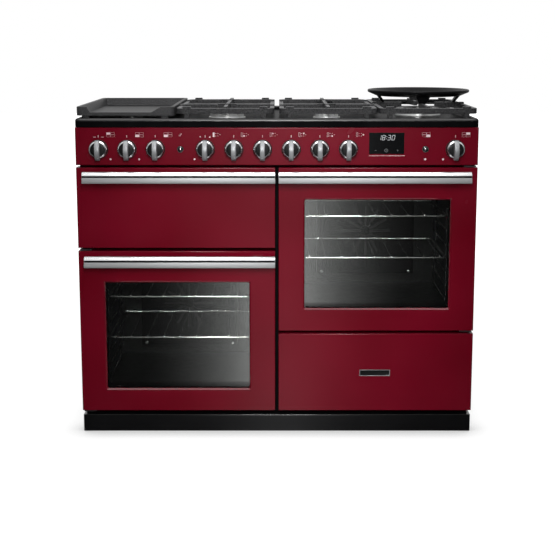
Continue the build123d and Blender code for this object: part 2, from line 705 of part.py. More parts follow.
def hinge_x(sign):
    return sign * (FRONT_WIDTH / 2 - HINGE_OFFSET)


def oven_door_front(sign, z):
    window_x, window_z = window(sign, z)
    pan = front_pan(column(sign), z, DOOR_DEPTH)
    lip_y = (FACE_Y + SHEET, FACE_Y + WINDOW_RETURN)
    pan += rounded_prism_y(inset(window_x, -SHEET), lip_y, inset(window_z, -SHEET), WINDOW_CORNER + SHEET)
    pan -= rounded_prism_y(window_x, (FACE_Y - SHEET, DOOR_BACK_Y), window_z, WINDOW_CORNER)
    bore = HINGE_PIN_RADIUS + HINGE_PIN_FIT
    return pan - rod("z", (hinge_x(sign), HINGE_Y, z[0] - SHEET), z[1] - z[0] + 2 * SHEET, bore)


def door_liner(x, z, window_pair=None):
    y = (DOOR_BACK_Y - DOOR_LINER_DEPTH, DOOR_BACK_Y)
    margin = SHEET + LINER_FIT
    liner = tray(inset(x, margin), y, (z[0] + margin, z[1] - margin), SHEET, "-y")
    if window_pair:
        liner -= rounded_prism_y(window_pair[0], inset(y, -SHEET), window_pair[1], WINDOW_CORNER)
    return liner


def oven_door_liner(sign, z):
    return door_liner(column(sign), z, window(sign, z))


def oven_door_glass(sign, z):
    """Outer pane behind the front's window return, inner pane against the liner."""
    window_x, window_z = window(sign, z)
    x = inset(window_x, -GLASS_LAP)
    glass_z = inset(window_z, -GLASS_LAP)
    outer_y = FACE_Y + WINDOW_RETURN
    inner_y = DOOR_BACK_Y - SHEET - GLASS
    return [span(x, (start, start + GLASS), glass_z) for start in (outer_y, inner_y)]


def handle(sign, z):
    """A bar and its two posts; the bar runs from near the outer edge to the inner edge."""
    outer, inner = sign * (FRONT_WIDTH / 2 - HANDLE_INSET), sign * COLUMN_GAP / 2
    x = sorted((outer, inner))
    middle_z = z[1] - HANDLE_DROP - HANDLE_HEIGHT / 2
    bar_y = FACE_Y - HANDLE_STANDOFF - HANDLE_DEPTH / 2
    section = RectangleRounded(HANDLE_HEIGHT, HANDLE_DEPTH, HANDLE_RADIUS)
    bar = Pos(x[0], bar_y, middle_z) * Rot(0, 90, 0) * extrude(section, x[1] - x[0])
    posts = []
    for post_x in inset(x, HANDLE_POST_INSET):
        post = span(about(post_x, HANDLE_POST_WIDTH), (FACE_Y - HANDLE_STANDOFF, FACE_Y),
                    about(middle_z, HANDLE_POST_HEIGHT))
        posts.append(post)
    return [bar, *posts]


def grill_hinge_arm_x(sign):
    """X range of one grill hinge arm, inside the door's left or right return."""
    x = column(-1)
    edge = x[0] if sign < 0 else x[1]
    near = edge - sign * (SHEET + HINGE_NOTCH_CLEARANCE)
    return edge, sorted((near, near - sign * HINGE_PLATE))


def grill_door_front():
    z = GRILL_DOOR_Z
    pan = front_pan(column(-1), z, DOOR_DEPTH)
    axis_z = z[0] + HINGE_OFFSET
    bore = HINGE_PIN_RADIUS + HINGE_PIN_FIT
    pan -= rod("x", (column(-1)[0] - SHEET, HINGE_Y, axis_z), DOOR_WIDTH + 2 * SHEET, bore)
    notch_y = (HINGE_Y - HINGE_ARM_HALF - HINGE_NOTCH_CLEARANCE, DOOR_BACK_Y + SHEET)
    for sign in SIDES.values():
        _, arm_x = grill_hinge_arm_x(sign)
        pan -= span(inset(arm_x, -HINGE_NOTCH_CLEARANCE), notch_y, (z[0] - SHEET, z[0] + 2 * SHEET))
    return pan


def grill_door_liner():
    z = GRILL_DOOR_Z
    floor = z[0] + HINGE_OFFSET + HINGE_ARM_HALF + HINGE_NOTCH_CLEARANCE
    return door_liner(column(-1), (floor, z[1]))


def oven_hinge(sign, door_end, outward):
    """A plate in the gap beyond one end of an oven door, with the pin that enters the door."""
    x = hinge_x(sign)
    plate_z = sorted((door_end + outward * HINGE_CLEARANCE,
                      door_end + outward * (HINGE_CLEARANCE + HINGE_PLATE)))
    plate_x = sorted((x + sign * HINGE_ARM_HALF, x - sign * HINGE_ARM_REACH))
    plate = span(plate_x, (HINGE_Y - HINGE_ARM_HALF, FRAME_Y), plate_z)
    pin_z = sorted((door_end - outward * HINGE_PIN_LENGTH, sum(plate_z) / 2))
    return plate + rod("z", (x, HINGE_Y, pin_z[0]), pin_z[1] - pin_z[0], HINGE_PIN_RADIUS)


def grill_hinge(sign):
    """An arm from the front frame into the grill door, with the pin through the door's return."""
    edge, arm_x = grill_hinge_arm_x(sign)
    axis_z = GRILL_DOOR_Z[0] + HINGE_OFFSET
    arm = span(arm_x, (HINGE_Y, FRAME_Y), about(axis_z, 2 * HINGE_ARM_HALF))
    arm += rod("x", (arm_x[0], HINGE_Y, axis_z), HINGE_PLATE, HINGE_ARM_HALF)
    pin_x = sorted((edge, sum(arm_x) / 2))
    return arm + rod("x", (pin_x[0], HINGE_Y, axis_z), pin_x[1] - pin_x[0], HINGE_PIN_RADIUS)


def hinge_brackets():
    brackets = [grill_hinge(sign) for sign in SIDES.values()]
    for sign, z in ((-1, LEFT_OVEN_DOOR_Z), (1, RIGHT_OVEN_DOOR_Z)):
        brackets.append(oven_hinge(sign, z[0], -1))
        brackets.append(oven_hinge(sign, z[1], 1))
    return brackets


# Controls

def knob_xs():
    return GAS_KNOB_XS + OVEN_KNOB_XS


def display_window():
    top = PANEL_Z[1] - DISPLAY_DROP
    return about(DISPLAY_X, DISPLAY_WIDTH), (top - DISPLAY_HEIGHT, top)


def control_panel():
    panel = front_pan((-FRONT_WIDTH / 2, FRONT_WIDTH / 2), PANEL_Z, FRAME_Y - FACE_Y)
    through = (FACE_Y - SHEET, 3 * SHEET)
    for x in knob_xs():
        panel -= rod("y", (x, through[0], KNOB_Z), through[1], SPINDLE_RADIUS + SPINDLE_HOLE_CLEARANCE)
    for x in (IGNITION_X, DRAWER_BUTTON_X):
        panel -= rod("y", (x, through[0], KNOB_Z), through[1], BEZEL_SLEEVE_RADIUS + BEZEL_FIT)
    display_x, display_z = display_window()
    return panel - span(display_x, (FACE_Y - SHEET, FACE_Y + 2 * SHEET), display_z)


def clock_display():
    x, z = display_window()
    face = span(inset(x, DISPLAY_FIT), (FACE_Y - DISPLAY_PROUD, FACE_Y + SHEET), inset(z, DISPLAY_FIT))
    body = span(inset(x, -DISPLAY_LAP), (FACE_Y + SHEET, FACE_Y + DISPLAY_DEPTH), inset(z, -DISPLAY_LAP))
    return face + body


def knob(x):
    """Round skirt, arched grip bar and the spindle it turns."""
    skirt_y = FACE_Y - KNOB_CLEARANCE
    face_y = skirt_y - KNOB_SKIRT
    skirt = Cone(KNOB_RADIUS, KNOB_FACE_RADIUS, KNOB_SKIRT, align=BOTTOM)
    skirt = Pos(x, skirt_y, KNOB_Z) * Rot(90, 0, 0) * skirt
    top = (face_y, KNOB_Z + GRIP_TOP)
    bottom = (face_y, KNOB_Z - GRIP_BOTTOM)
    root_y = skirt_y - KNOB_SKIRT / 2
    outline = [
        Line((root_y, KNOB_Z + KNOB_FACE_RADIUS), top),
        ThreePointArc(top, (FACE_Y - KNOB_REACH, KNOB_Z), bottom),
        Line(bottom, (root_y, KNOB_Z - KNOB_FACE_RADIUS)),
        Line((root_y, KNOB_Z - KNOB_FACE_RADIUS), (root_y, KNOB_Z + KNOB_FACE_RADIUS)),
    ]
    grip = Pos(x, 0, 0) * extrude(Plane.YZ * make_face(outline), GRIP_WIDTH / 2, both=True)
    spindle_start = skirt_y - KNOB_SKIRT / 4
    spindle = rod("y", (x, spindle_start, KNOB_Z), SPINDLE_END - spindle_start, SPINDLE_RADIUS)
    return union([skirt, grip, spindle])


def spindle_socket(x, block_face):
    """Bore for a spindle, from a tap's or switch's front face."""
    depth = SPINDLE_END - block_face + SHEET
    return rod("y", (x, block_face - SHEET, KNOB_Z), depth + SHEET, SPINDLE_RADIUS + SPINDLE_FIT)


def gas_taps():
    face = FACE_Y + TAP_FACE
    taps = []
    for x in GAS_KNOB_XS:
        body = span(about(x, TAP_WIDTH), (face, face + TAP_DEPTH), about(KNOB_Z, TAP_WIDTH))
        taps.append(body - spindle_socket(x, face))
    return taps


def gas_rail():
    """Square rail behind the taps, with the pipe that runs to the rear inlet."""
    rail_y = FACE_Y + TAP_FACE + TAP_DEPTH
    reach = (GAS_KNOB_XS[0] - RAIL_OVERRUN, GAS_INLET_X + RAIL_SIZE / 2)
    rail = span(reach, (rail_y, rail_y + RAIL_SIZE), about(KNOB_Z, RAIL_SIZE))
    inlet_end = BACK_Y - GAS_INLET_RECESS
    pipe_start = rail_y + RAIL_SIZE / 2
    pipe = rod("y", (GAS_INLET_X, pipe_start, KNOB_Z), inlet_end - pipe_start, GAS_PIPE_RADIUS)
    inlet_start = inlet_end - GAS_INLET_LENGTH
    inlet = rod("y", (GAS_INLET_X, inlet_start, KNOB_Z), GAS_INLET_LENGTH, GAS_INLET_RADIUS)
    gussets = []
    for x in (reach[0] + SHEET, GAS_KNOB_XS[-1] + RAIL_OVERRUN):
        gussets.append(span(about(x, 2 * SHEET), (CAVITY_Y, rail_y + RAIL_SIZE), (KNOB_Z, PANEL_Z[1])))
    return union([rail, pipe, inlet, *gussets])


def rotary_switch(x):
    face = FACE_Y + SHEET
    body = span(about(x, SWITCH_WIDTH), (face, face + SWITCH_DEPTH), about(KNOB_Z, SWITCH_WIDTH))
    return body - spindle_socket(x, face)


def push_switch(x):
    """Bezel on the panel's face, sleeve through it and the switch block behind."""
    face = FACE_Y + SHEET
    bezel = rod("y", (x, FACE_Y - BEZEL_HEIGHT, KNOB_Z), BEZEL_HEIGHT, BEZEL_RADIUS)
    sleeve = rod("y", (x, FACE_Y - BEZEL_HEIGHT, KNOB_Z), BEZEL_HEIGHT + 2 * SHEET, BEZEL_SLEEVE_RADIUS)
    block = span(about(x, 2 * BEZEL_RADIUS), (face, face + SWITCH_DEPTH), about(KNOB_Z, 2 * BEZEL_RADIUS))
    bore_start = FACE_Y - BEZEL_HEIGHT - SHEET
    bore_end = FACE_Y - BUTTON_REACH + BUTTON_LENGTH + BUTTON_TRAVEL + BUTTON_END_CLEARANCE
    bore = rod("y", (x, bore_start, KNOB_Z), bore_end - bore_start, BUTTON_RADIUS + BUTTON_FIT)
    return union([bezel, sleeve, block]) - bore


def push_button(x):
    return rod("y", (x, FACE_Y - BUTTON_REACH, KNOB_Z), BUTTON_LENGTH, BUTTON_RADIUS)


# Hob

def hob_plate():
    """Enamelled top with a rounded rim, a sunk well and a vented ledge along the back."""
    depth = BACK_Y - HOB_FRONT_Y
    middle_y = (BACK_Y + HOB_FRONT_Y) / 2
    outline = RectangleRounded(COOKER_WIDTH, depth, HOB_CORNER_RADIUS)
    plate = Pos(0, middle_y, HOB_Z[0]) * extrude(outline, HOB_HEIGHT)
    plate = fillet(plate.edges().group_by(Axis.Z)[-1], HOB_EDGE_RADIUS)
    well_y = (HOB_FRONT_Y + HOB_RIM, BACK_Y - HOB_BACK_LEDGE)
    well = RectangleRounded(COOKER_WIDTH - 2 * HOB_RIM, well_y[1] - well_y[0], HOB_CORNER_RADIUS / 2)
    plate -= Pos(0, sum(well_y) / 2, WELL_Z) * extrude(well, 2 * HOB_WELL)
    under = RectangleRounded(COOKER_WIDTH - 2 * LINER_SHEET, depth - 2 * LINER_SHEET,
                             HOB_CORNER_RADIUS - LINER_SHEET)
    plate -= Pos(0, middle_y, HOB_Z[0] - LINER_SHEET) * extrude(under, HOB_UNDERSIDE - HOB_Z[0] + LINER_SHEET)
    vent_y = about(BACK_Y - HOB_BACK_LEDGE / 2, VENT_SLOT_DEPTH)
    for i in range(VENT_SLOTS):
        vent_x = about((i - (VENT_SLOTS - 1) / 2) * VENT_PITCH, VENT_SLOT_WIDTH)
        plate -= span(vent_x, vent_y, HOB_Z)
    for x, y, radius in BURNERS.values():
        plate -= rod("z", (x, y, HOB_Z[0]), HOB_HEIGHT, burner_stem(radius) + BURNER_STEM_FIT)
    return plate - rod("z", (-OUTER_SUPPORT_X, SUPPORT_Y, HOB_Z[0]), HOB_HEIGHT,
                       burner_stem(GRIDDLE_BURNER_WIDTH / 2) + BURNER_STEM_FIT)


def burner_stem(radius):
    return radius / 2


def ring_of_ports(x, y, z, radius, height):
    """Flame ports cut in from the rim of a burner head."""
    port = span((radius - FLAME_PORT_DEPTH, radius + FLAME_PORT_DEPTH), about(0, FLAME_PORT_WIDTH), (0, height))
    return [Pos(x, y, z) * Rot(0, 0, i * 360 / FLAME_PORTS) * port for i in range(FLAME_PORTS)]


def burner_head(x, y, radius):
    port_z = WELL_Z + BURNER_FLANGE + BURNER_HEAD_HEIGHT / 2
    top = WELL_Z + BURNER_FLANGE + BURNER_HEAD_HEIGHT
    crown = radius - FLAME_PORT_DEPTH
    head = union([
        rod("z", (x, y, WELL_Z), BURNER_FLANGE, radius),
        rod("z", (x, y, WELL_Z), BURNER_FLANGE + BURNER_HEAD_HEIGHT, crown),
        rod("z", (x, y, WELL_Z - BURNER_STEM), BURNER_STEM, burner_stem(radius)),
    ])
    if radius == WOK_BURNER:
        groove = rod("z", (x, y, port_z), 2 * BURNER_HEAD_HEIGHT, radius / 2 + WOK_GROOVE)
        groove -= rod("z", (x, y, port_z), 2 * BURNER_HEAD_HEIGHT, radius / 2)
        head -= groove
    return head.cut(*ring_of_ports(x, y, port_z, crown, top - port_z + SHEET))


def griddle_burner_parts():
    """The long burner under the griddle: head and cap."""
    outline = SlotOverall(GRIDDLE_BURNER_LENGTH, GRIDDLE_BURNER_WIDTH)
    place = Pos(-OUTER_SUPPORT_X, SUPPORT_Y, WELL_Z) * Rot(0, 0, 90)
    head = place * extrude(outline, GRIDDLE_BURNER_HEAD)
    stem = rod("z", (-OUTER_SUPPORT_X, SUPPORT_Y, WELL_Z - BURNER_STEM), BURNER_STEM,
               burner_stem(GRIDDLE_BURNER_WIDTH / 2))
    cap_outline = offset(outline, -FLAME_PORT_DEPTH)
    cap = place * Pos(0, 0, GRIDDLE_BURNER_HEAD) * extrude(cap_outline, BURNER_CAP_HEIGHT)
    return head + stem, cap


def burner_heads():
    heads = [burner_head(x, y, radius) for x, y, radius in BURNERS.values()]
    return heads + [griddle_burner_parts()[0]]


def burner_caps():
    level = WELL_Z + BURNER_FLANGE + BURNER_HEAD_HEIGHT
    caps = []
    for x, y, radius in BURNERS.values():
        outer = radius - SHEET
        if radius == WOK_BURNER:
            ring = rod("z", (x, y, level), BURNER_CAP_HEIGHT, outer)
            ring -= rod("z", (x, y, level), BURNER_CAP_HEIGHT, radius / 2 + WOK_GROOVE)
            caps += [ring, rod("z", (x, y, level), BURNER_CAP_HEIGHT, radius / 2)]
        else:
            cap = Cone(outer, outer - BURNER_CAP_HEIGHT / 2, BURNER_CAP_HEIGHT, align=BOTTOM)
            caps.append(Pos(x, y, level) * cap)
    return caps + [griddle_burner_parts()[1]]


def finger(x, y, angle, root, tip):
    """A tapered bar that reaches from the support's frame toward a burner."""
    top = SUPPORT_TOP
    outline = Polyline((tip, top), (root, top), (root, BAR_Z[0]), (tip, top - FINGER_TIP_HEIGHT), close=True)
    bar = extrude(Plane.XZ * make_face(outline), FINGER_WIDTH / 2, both=True)
    return Pos(x, y, 0) * Rot(0, 0, angle) * bar


def pan_support(x, burner_ys, tip):
    """A cast frame on feet, with raised corner lugs and four fingers round each burner."""
    bar = SUPPORT_BAR
    outline = RectangleRounded(SUPPORT_WIDTH, SUPPORT_DEPTH, SUPPORT_CORNER)
    outline -= RectangleRounded(SUPPORT_WIDTH - 2 * bar, SUPPORT_DEPTH - 2 * bar, SUPPORT_CORNER - bar)
    pieces = [Pos(x, SUPPORT_Y, BAR_Z[0]) * extrude(outline, SUPPORT_BAR_HEIGHT)]
    side_x = about(x, SUPPORT_WIDTH)
    end_y = about(SUPPORT_Y, SUPPORT_DEPTH)
    if len(burner_ys) > 1:
        pieces.append(span(inset(side_x, bar / 2), about(SUPPORT_Y, bar), BAR_Z))
    for i, y in enumerate(burner_ys):
        near = end_y[0] if i == 0 else SUPPORT_Y
        far = end_y[1] if i == len(burner_ys) - 1 else SUPPORT_Y
        reach_x = SUPPORT_WIDTH / 2 - bar / 2
        reaches = {0: reach_x, 180: reach_x, 90: far - y, 270: y - near}
        for angle, reach in reaches.items():
            edge = bar / 2 if angle in (90, 270) else 0
            pieces.append(finger(x, y, angle, reach - edge, tip))
            if edge == 0:
                lug_x = x + (reach_x if angle == 0 else -reach_x)
                pieces.append(span(about(lug_x, bar), about(y, SUPPORT_LUG_LENGTH), (BAR_Z[1], SUPPORT_TOP)))
    corner = SUPPORT_CORNER
    for foot_x in inset(side_x, corner + SUPPORT_LUG_LENGTH / 2):
        for end in (-1, 1):
            edge_y = SUPPORT_Y + end * SUPPORT_DEPTH / 2
            lug_y = sorted((edge_y, edge_y - end * bar))
            pieces.append(span(about(foot_x, SUPPORT_LUG_LENGTH), lug_y, (BAR_Z[1], SUPPORT_TOP)))
            foot_y = sorted((edge_y, edge_y - end * SUPPORT_FOOT))
            pieces.append(span(about(foot_x, SUPPORT_FOOT), foot_y, (WELL_Z, BAR_Z[0])))
    return union(pieces)


def griddle():
    """A cast tray with sloping walls, a low lip at the front and a foot at each corner."""
    place = Pos(-OUTER_SUPPORT_X, SUPPORT_Y, 0)
    top = WELL_Z + GRIDDLE_HEIGHT
    floor = top - GRIDDLE_POCKET
    edge = floor - GRIDDLE_EDGE
    outline = RectangleRounded(SUPPORT_WIDTH, SUPPORT_DEPTH, GRIDDLE_CORNER)
    body = Pos(0, 0, edge) * extrude(outline, top - edge)
    pan_inset = 1.5 * GRIDDLE_WALL
    pan = Rectangle(SUPPORT_WIDTH - 2 * pan_inset, SUPPORT_DEPTH - 2 * pan_inset)
    body += Pos(0, 0, floor - GRIDDLE_FLOOR) * extrude(pan, GRIDDLE_FLOOR)
    floor_wall = 2 * GRIDDLE_WALL
    pocket = Rectangle(SUPPORT_WIDTH - 2 * floor_wall, SUPPORT_DEPTH - 2 * floor_wall)
    body -= Pos(0, 0, floor) * extrude(pocket, GRIDDLE_POCKET + SHEET, taper=-GRIDDLE_TAPER)
    lip = top - SCOOP_DEPTH
    scoop = Polyline((SCOOP_LEFT, top), (SCOOP_RIGHT, top), (SCOOP_RIGHT - SCOOP_RIGHT_SLOPE, lip),
                     (SCOOP_LEFT + SCOOP_LEFT_SLOPE, lip), close=True)
    front = -SUPPORT_DEPTH / 2
    body -= Pos(0, front + floor_wall, 0) * extrude(Plane.XZ * make_face(scoop), 2 * floor_wall)
    feet = []
    well_edge = COOKER_WIDTH / 2 - HOB_RIM - OUTER_SUPPORT_X
    foot_reach = min(well_edge - GRIDDLE_FOOT_CLEARANCE, SUPPORT_WIDTH / 2) - GRIDDLE_FOOT / 2
    for x in (-1, 1):
        for y in (-1, 1):
            foot_x = x * foot_reach
            foot_y = y * (SUPPORT_DEPTH / 2 - GRIDDLE_CORNER)
            feet.append(span(about(foot_x, GRIDDLE_FOOT), about(foot_y, GRIDDLE_FOOT),
                             (WELL_Z, edge + GRIDDLE_EDGE / 2)))
    return place * union([body, *feet])


def wok_ring():
    """A shallow cone of cast iron on four tapered legs that stand on the support's fingers."""
    seat = SUPPORT_TOP + WOK_REST
    top = SUPPORT_TOP + WOK_RISE
    low = top - WOK_BAND
    profile = Polyline((WOK_TOP_RADIUS, top), (WOK_TOP_RADIUS - WOK_WALL, top),
                       (WOK_BOTTOM_RADIUS - WOK_WALL, low), (WOK_BOTTOM_RADIUS, low), close=True)
    band = revolve(Plane.XZ * make_face(profile), Axis.Z)
    leg_top_z = low + WOK_BAND / 4
    leg_top_x = WOK_BOTTOM_RADIUS - WOK_WALL / 2
    foot = Pos(WOK_LEG_FOOT_RADIUS, 0, seat) * Rectangle(WOK_LEG_THICKNESS, WOK_LEG_FOOT)
    head = Pos(leg_top_x, 0, leg_top_z) * Rectangle(WOK_LEG_THICKNESS, WOK_LEG_TOP)
    leg = loft([foot, head], ruled=True)
    legs = [Rot(0, 0, angle) * leg for angle in (0, 90, 180, 270)]
    return Pos(OUTER_SUPPORT_X, SUPPORT_Y, 0) * union([band, *legs])


INNER_BURNER_YS = [SUPPORT_Y - BURNER_SPACING / 2, SUPPORT_Y + BURNER_SPACING / 2]
OVENS = ("left oven", "right oven")

nodes = {
    "base_frame": base_frame(),
    "levelling_feet": levelling_feet(),
    "plinth": plinth(),
    "side_panels": [side_panel(sign) for sign in SIDES.values()],
    "rear_panel": rear_panel(),
    "front_frame": front_frame(),
    "hob_plate": hob_plate(),
    "control_panel": control_panel(),
    "clock_display": clock_display(),
    "left_oven_cavity": cavity("left oven"),
    "right_oven_cavity": cavity("right oven"),
    "grill_cavity": union([cavity("grill")] + [grill_runner(sign) for sign in SIDES.values()]),
    "drawer_compartment": cavity("drawer"),
    "door_seals": [door_seal(name) for name in ("left oven", "right oven", "grill")],
    "hinge_brackets": hinge_brackets(),
    "ladder_racks": [ladder_rack(name, sign) for name in OVENS for sign in SIDES.values()],
    "oven_shelves": [oven_shelf(name, level) for name in OVENS for level in SHELF_LEVELS],
    "fan_covers": [fan_cover(name) for name in OVENS],
    "fan_motors": [fan_motor(name) for name in OVENS],
    "heating_elements": [ring_element(name) for name in OVENS] + [grill_element()],
    "grill_pan": grill_pan(),
    "grill_trivet": grill_trivet(),
    "drawer_runners": drawer_runners(),
    "gas_rail": gas_rail(),
    "gas_taps": gas_taps(),
    "control_switches": [rotary_switch(x) for x in OVEN_KNOB_XS]
    + [push_switch(x) for x in (IGNITION_X, DRAWER_BUTTON_X)],
    "burner_heads": burner_heads(),
    "burner_caps": burner_caps(),
    "left_oven_fan": oven_fan("left oven"),
    "right_oven_fan": oven_fan("right oven"),
    "griddle": griddle(),
    "left_centre_pan_support": pan_support(-INNER_SUPPORT_X, INNER_BURNER_YS, FINGER_TIP_RADIUS),
    "right_centre_pan_support": pan_support(INNER_SUPPORT_X, INNER_BURNER_YS, FINGER_TIP_RADIUS),
    "wok_pan_support": pan_support(OUTER_SUPPORT_X, [SUPPORT_Y], WOK_FINGER_TIP_RADIUS),
    "wok_ring": wok_ring(),
    "ignition_button": push_button(IGNITION_X),
    "drawer_button": push_button(DRAWER_BUTTON_X),
    "left_oven_door_front": oven_door_front(-1, LEFT_OVEN_DOOR_Z),
    "left_oven_door_liner": oven_door_liner(-1, LEFT_OVEN_DOOR_Z),
    "left_oven_door_glass": oven_door_glass(-1, LEFT_OVEN_DOOR_Z),
    "left_oven_door_handle": handle(-1, LEFT_OVEN_DOOR_Z),
    "right_oven_door_front": oven_door_front(1, RIGHT_OVEN_DOOR_Z),
    "right_oven_door_liner": oven_door_liner(1, RIGHT_OVEN_DOOR_Z),
    "right_oven_door_glass": oven_door_glass(1, RIGHT_OVEN_DOOR_Z),
    "right_oven_door_handle": handle(1, RIGHT_OVEN_DOOR_Z),
    "grill_door_front": grill_door_front(),
    "grill_door_liner": grill_door_liner(),
    "grill_door_handle": handle(-1, GRILL_DOOR_Z),
    "drawer_front": drawer_front(),
    "drawer_box": [drawer_box()] + drawer_slides(),
}
OVEN_KNOB_NAMES = ("grill", "left_oven_function", "left_oven_temperature", "right_oven_temperature")
HOB_KNOB_NAMES = ("griddle", "front_left", "rear_left", "rear_right", "front_right", "wok")
for name, x in zip(OVEN_KNOB_NAMES + HOB_KNOB_NAMES, OVEN_KNOB_XS + GAS_KNOB_XS):
    nodes[name + "_knob"] = knob(x)

os.makedirs("parts", exist_ok=True)
for name, shape in nodes.items():
    shapes = shape if isinstance(shape, list) else [shape]
    solids = [solid for piece in shapes for solid in piece.solids()]
    export_step(Pos(ORIGIN_SHIFT, 0, 0) * Compound(solids), f"parts/{name}.step")
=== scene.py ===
"""Looks for a dual fuel range cooker: its finishes, knobs, printed marks, clock and the studio round it."""

import json
import math

import bpy
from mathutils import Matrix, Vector

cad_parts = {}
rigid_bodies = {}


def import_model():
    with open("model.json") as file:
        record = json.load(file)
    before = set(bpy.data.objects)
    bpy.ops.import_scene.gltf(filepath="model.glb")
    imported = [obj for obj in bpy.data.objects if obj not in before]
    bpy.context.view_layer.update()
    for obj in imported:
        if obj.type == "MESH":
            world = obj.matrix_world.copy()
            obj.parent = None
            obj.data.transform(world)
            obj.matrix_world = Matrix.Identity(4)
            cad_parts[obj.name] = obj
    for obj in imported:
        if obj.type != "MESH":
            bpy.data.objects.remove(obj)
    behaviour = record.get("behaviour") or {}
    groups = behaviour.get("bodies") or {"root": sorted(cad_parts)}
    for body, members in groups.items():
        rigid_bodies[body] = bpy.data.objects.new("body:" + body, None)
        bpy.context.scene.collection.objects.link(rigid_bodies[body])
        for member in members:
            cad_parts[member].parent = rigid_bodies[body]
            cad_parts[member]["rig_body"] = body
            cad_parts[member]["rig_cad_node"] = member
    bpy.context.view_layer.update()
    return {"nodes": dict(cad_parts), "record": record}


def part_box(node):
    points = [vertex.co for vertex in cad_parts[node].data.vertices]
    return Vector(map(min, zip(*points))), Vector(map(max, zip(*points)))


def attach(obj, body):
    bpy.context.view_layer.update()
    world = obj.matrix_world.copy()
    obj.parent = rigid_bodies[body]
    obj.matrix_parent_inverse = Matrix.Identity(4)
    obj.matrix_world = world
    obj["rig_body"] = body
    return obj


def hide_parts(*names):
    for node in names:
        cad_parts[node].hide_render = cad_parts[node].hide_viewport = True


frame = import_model()
nodes = frame["nodes"]
slot_of = {row["node"]: row["material_slot"] for row in frame["record"]["subparts"]}

MM = 0.001
WELD = 0.01 * MM
PANEL_LOW, PANEL_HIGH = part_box("control_panel")
FACE_Y = PANEL_LOW.y
MIDDLE_X = (PANEL_LOW.x + PANEL_HIGH.x) / 2

# Turns that take the upright axis to a side of the cooker
TO_FRONT, TO_REAR = (math.pi / 2, 0, 0), (-math.pi / 2, 0, 0)
TO_LEFT, TO_RIGHT = (0, -math.pi / 2, 0), (0, math.pi / 2, 0)


# Modelling by hand

def let_go():
    """Leave edit mode with nothing selected."""
    if bpy.context.object and bpy.context.object.mode != "OBJECT":
        bpy.ops.object.mode_set(mode="OBJECT")
    bpy.ops.object.select_all(action="DESELECT")


def hold(piece):
    """Select one piece alone and make it active."""
    let_go()
    piece.select_set(True)
    bpy.context.view_layer.objects.active = piece
    return piece


def settle(piece):
    """Put a piece's place, turn and size into its mesh."""
    hold(piece)
    bpy.ops.object.transform_apply(location=True, rotation=True, scale=True)
    return piece


def shaped(piece, kind, **settings):
    """Add a modifier with its settings and apply it."""
    hold(piece)
    modifier = piece.modifiers.new(kind.title(), kind)
    for name, value in settings.items():
        setattr(modifier, name, value)
    bpy.ops.object.modifier_apply(modifier=modifier.name)
    return piece


def smooth(piece, angle=35):
    hold(piece)
    bpy.ops.object.shade_smooth_by_angle(angle=math.radians(angle))
    return piece


def eased(piece, width, segments=2, angle=30, smoothing=40):
    """Round the sharp edges and shade what is left smooth."""
    shaped(piece, "BEVEL", width=width, segments=segments, limit_method="ANGLE",
           angle_limit=math.radians(angle), harden_normals=False)
    return smooth(piece, smoothing)


def block(name, low, high):
    low, high = Vector(low), Vector(high)
    let_go()
    bpy.ops.mesh.primitive_cube_add(size=1.0, location=(low + high) / 2)
    piece = bpy.context.object
    piece.name = name
    piece.scale = high - low
    return settle(piece)


def drawn(name, points):
    """A line of vertices, extruded from point to point, left open in edit mode."""
    let_go()
    bpy.ops.mesh.primitive_plane_add(size=MM)
    piece = bpy.context.object
    piece.name = name
    bpy.ops.object.mode_set(mode="EDIT")
    bpy.ops.mesh.select_mode(type="VERT")
    bpy.ops.mesh.select_all(action="SELECT")
    bpy.ops.mesh.merge(type="CENTER")
    bpy.ops.transform.translate(value=points[0])
    for start, end in zip(points, points[1:]):
        step = Vector(end) - Vector(start)
        bpy.ops.mesh.extrude_region_move(TRANSFORM_OT_translate={"value": step})
    bpy.ops.mesh.select_all(action="SELECT")
    return piece


def plate(name, points, depth):
    """A flat outline, filled and extruded by a vector."""
    piece = drawn(name, points)
    bpy.ops.mesh.edge_face_add()
    bpy.ops.mesh.extrude_region_move(TRANSFORM_OT_translate={"value": depth})
    bpy.ops.mesh.select_all(action="SELECT")
    bpy.ops.mesh.normals_make_consistent(inside=False)
    bpy.ops.object.mode_set(mode="OBJECT")
    return piece


def turned(name, outline, steps=64):
    """An outline of radius and height spun round the upright axis."""
    piece = drawn(name, [(radius, 0, height) for radius, height in outline])
    bpy.ops.mesh.spin(steps=steps, angle=2 * math.pi, center=(0, 0, 0), axis=(0, 0, 1))
    bpy.ops.mesh.select_all(action="SELECT")
    bpy.ops.mesh.remove_doubles(threshold=WELD)
    bpy.ops.mesh.normals_make_consistent(inside=False)
    bpy.ops.object.mode_set(mode="OBJECT")
    return piece


def hoop(name, points, steps, thick):
    """A closed line of points drawn out to a band through shifts and sizes, then given a thickness."""
    piece = drawn(name, points + points[:1])
    bpy.ops.mesh.remove_doubles(threshold=WELD)
    for shift, size, centre in steps:
        bpy.ops.mesh.extrude_region_move(TRANSFORM_OT_translate={"value": shift})
        bpy.ops.transform.resize(value=size, center_override=centre)
    bpy.ops.mesh.select_all(action="SELECT")
    bpy.ops.mesh.normals_make_consistent(inside=False)
    bpy.ops.object.mode_set(mode="OBJECT")
    shaped(piece, "SOLIDIFY", thickness=thick, offset=-1.0)
    return piece


def moved(piece, place=(0, 0, 0), turn=(0, 0, 0)):
    piece.location = place
    piece.rotation_euler = turn
    return settle(piece)


def upright(name, outline, turn=(0, 0, 0), steps=24, smoothing=38):
    """A turned piece drawn in millimetres, its axis upright or laid towards a side."""
    piece = turned(name, outline, steps)
    piece.scale = (MM, MM, MM)
    return smooth(moved(piece, turn=turn), smoothing)


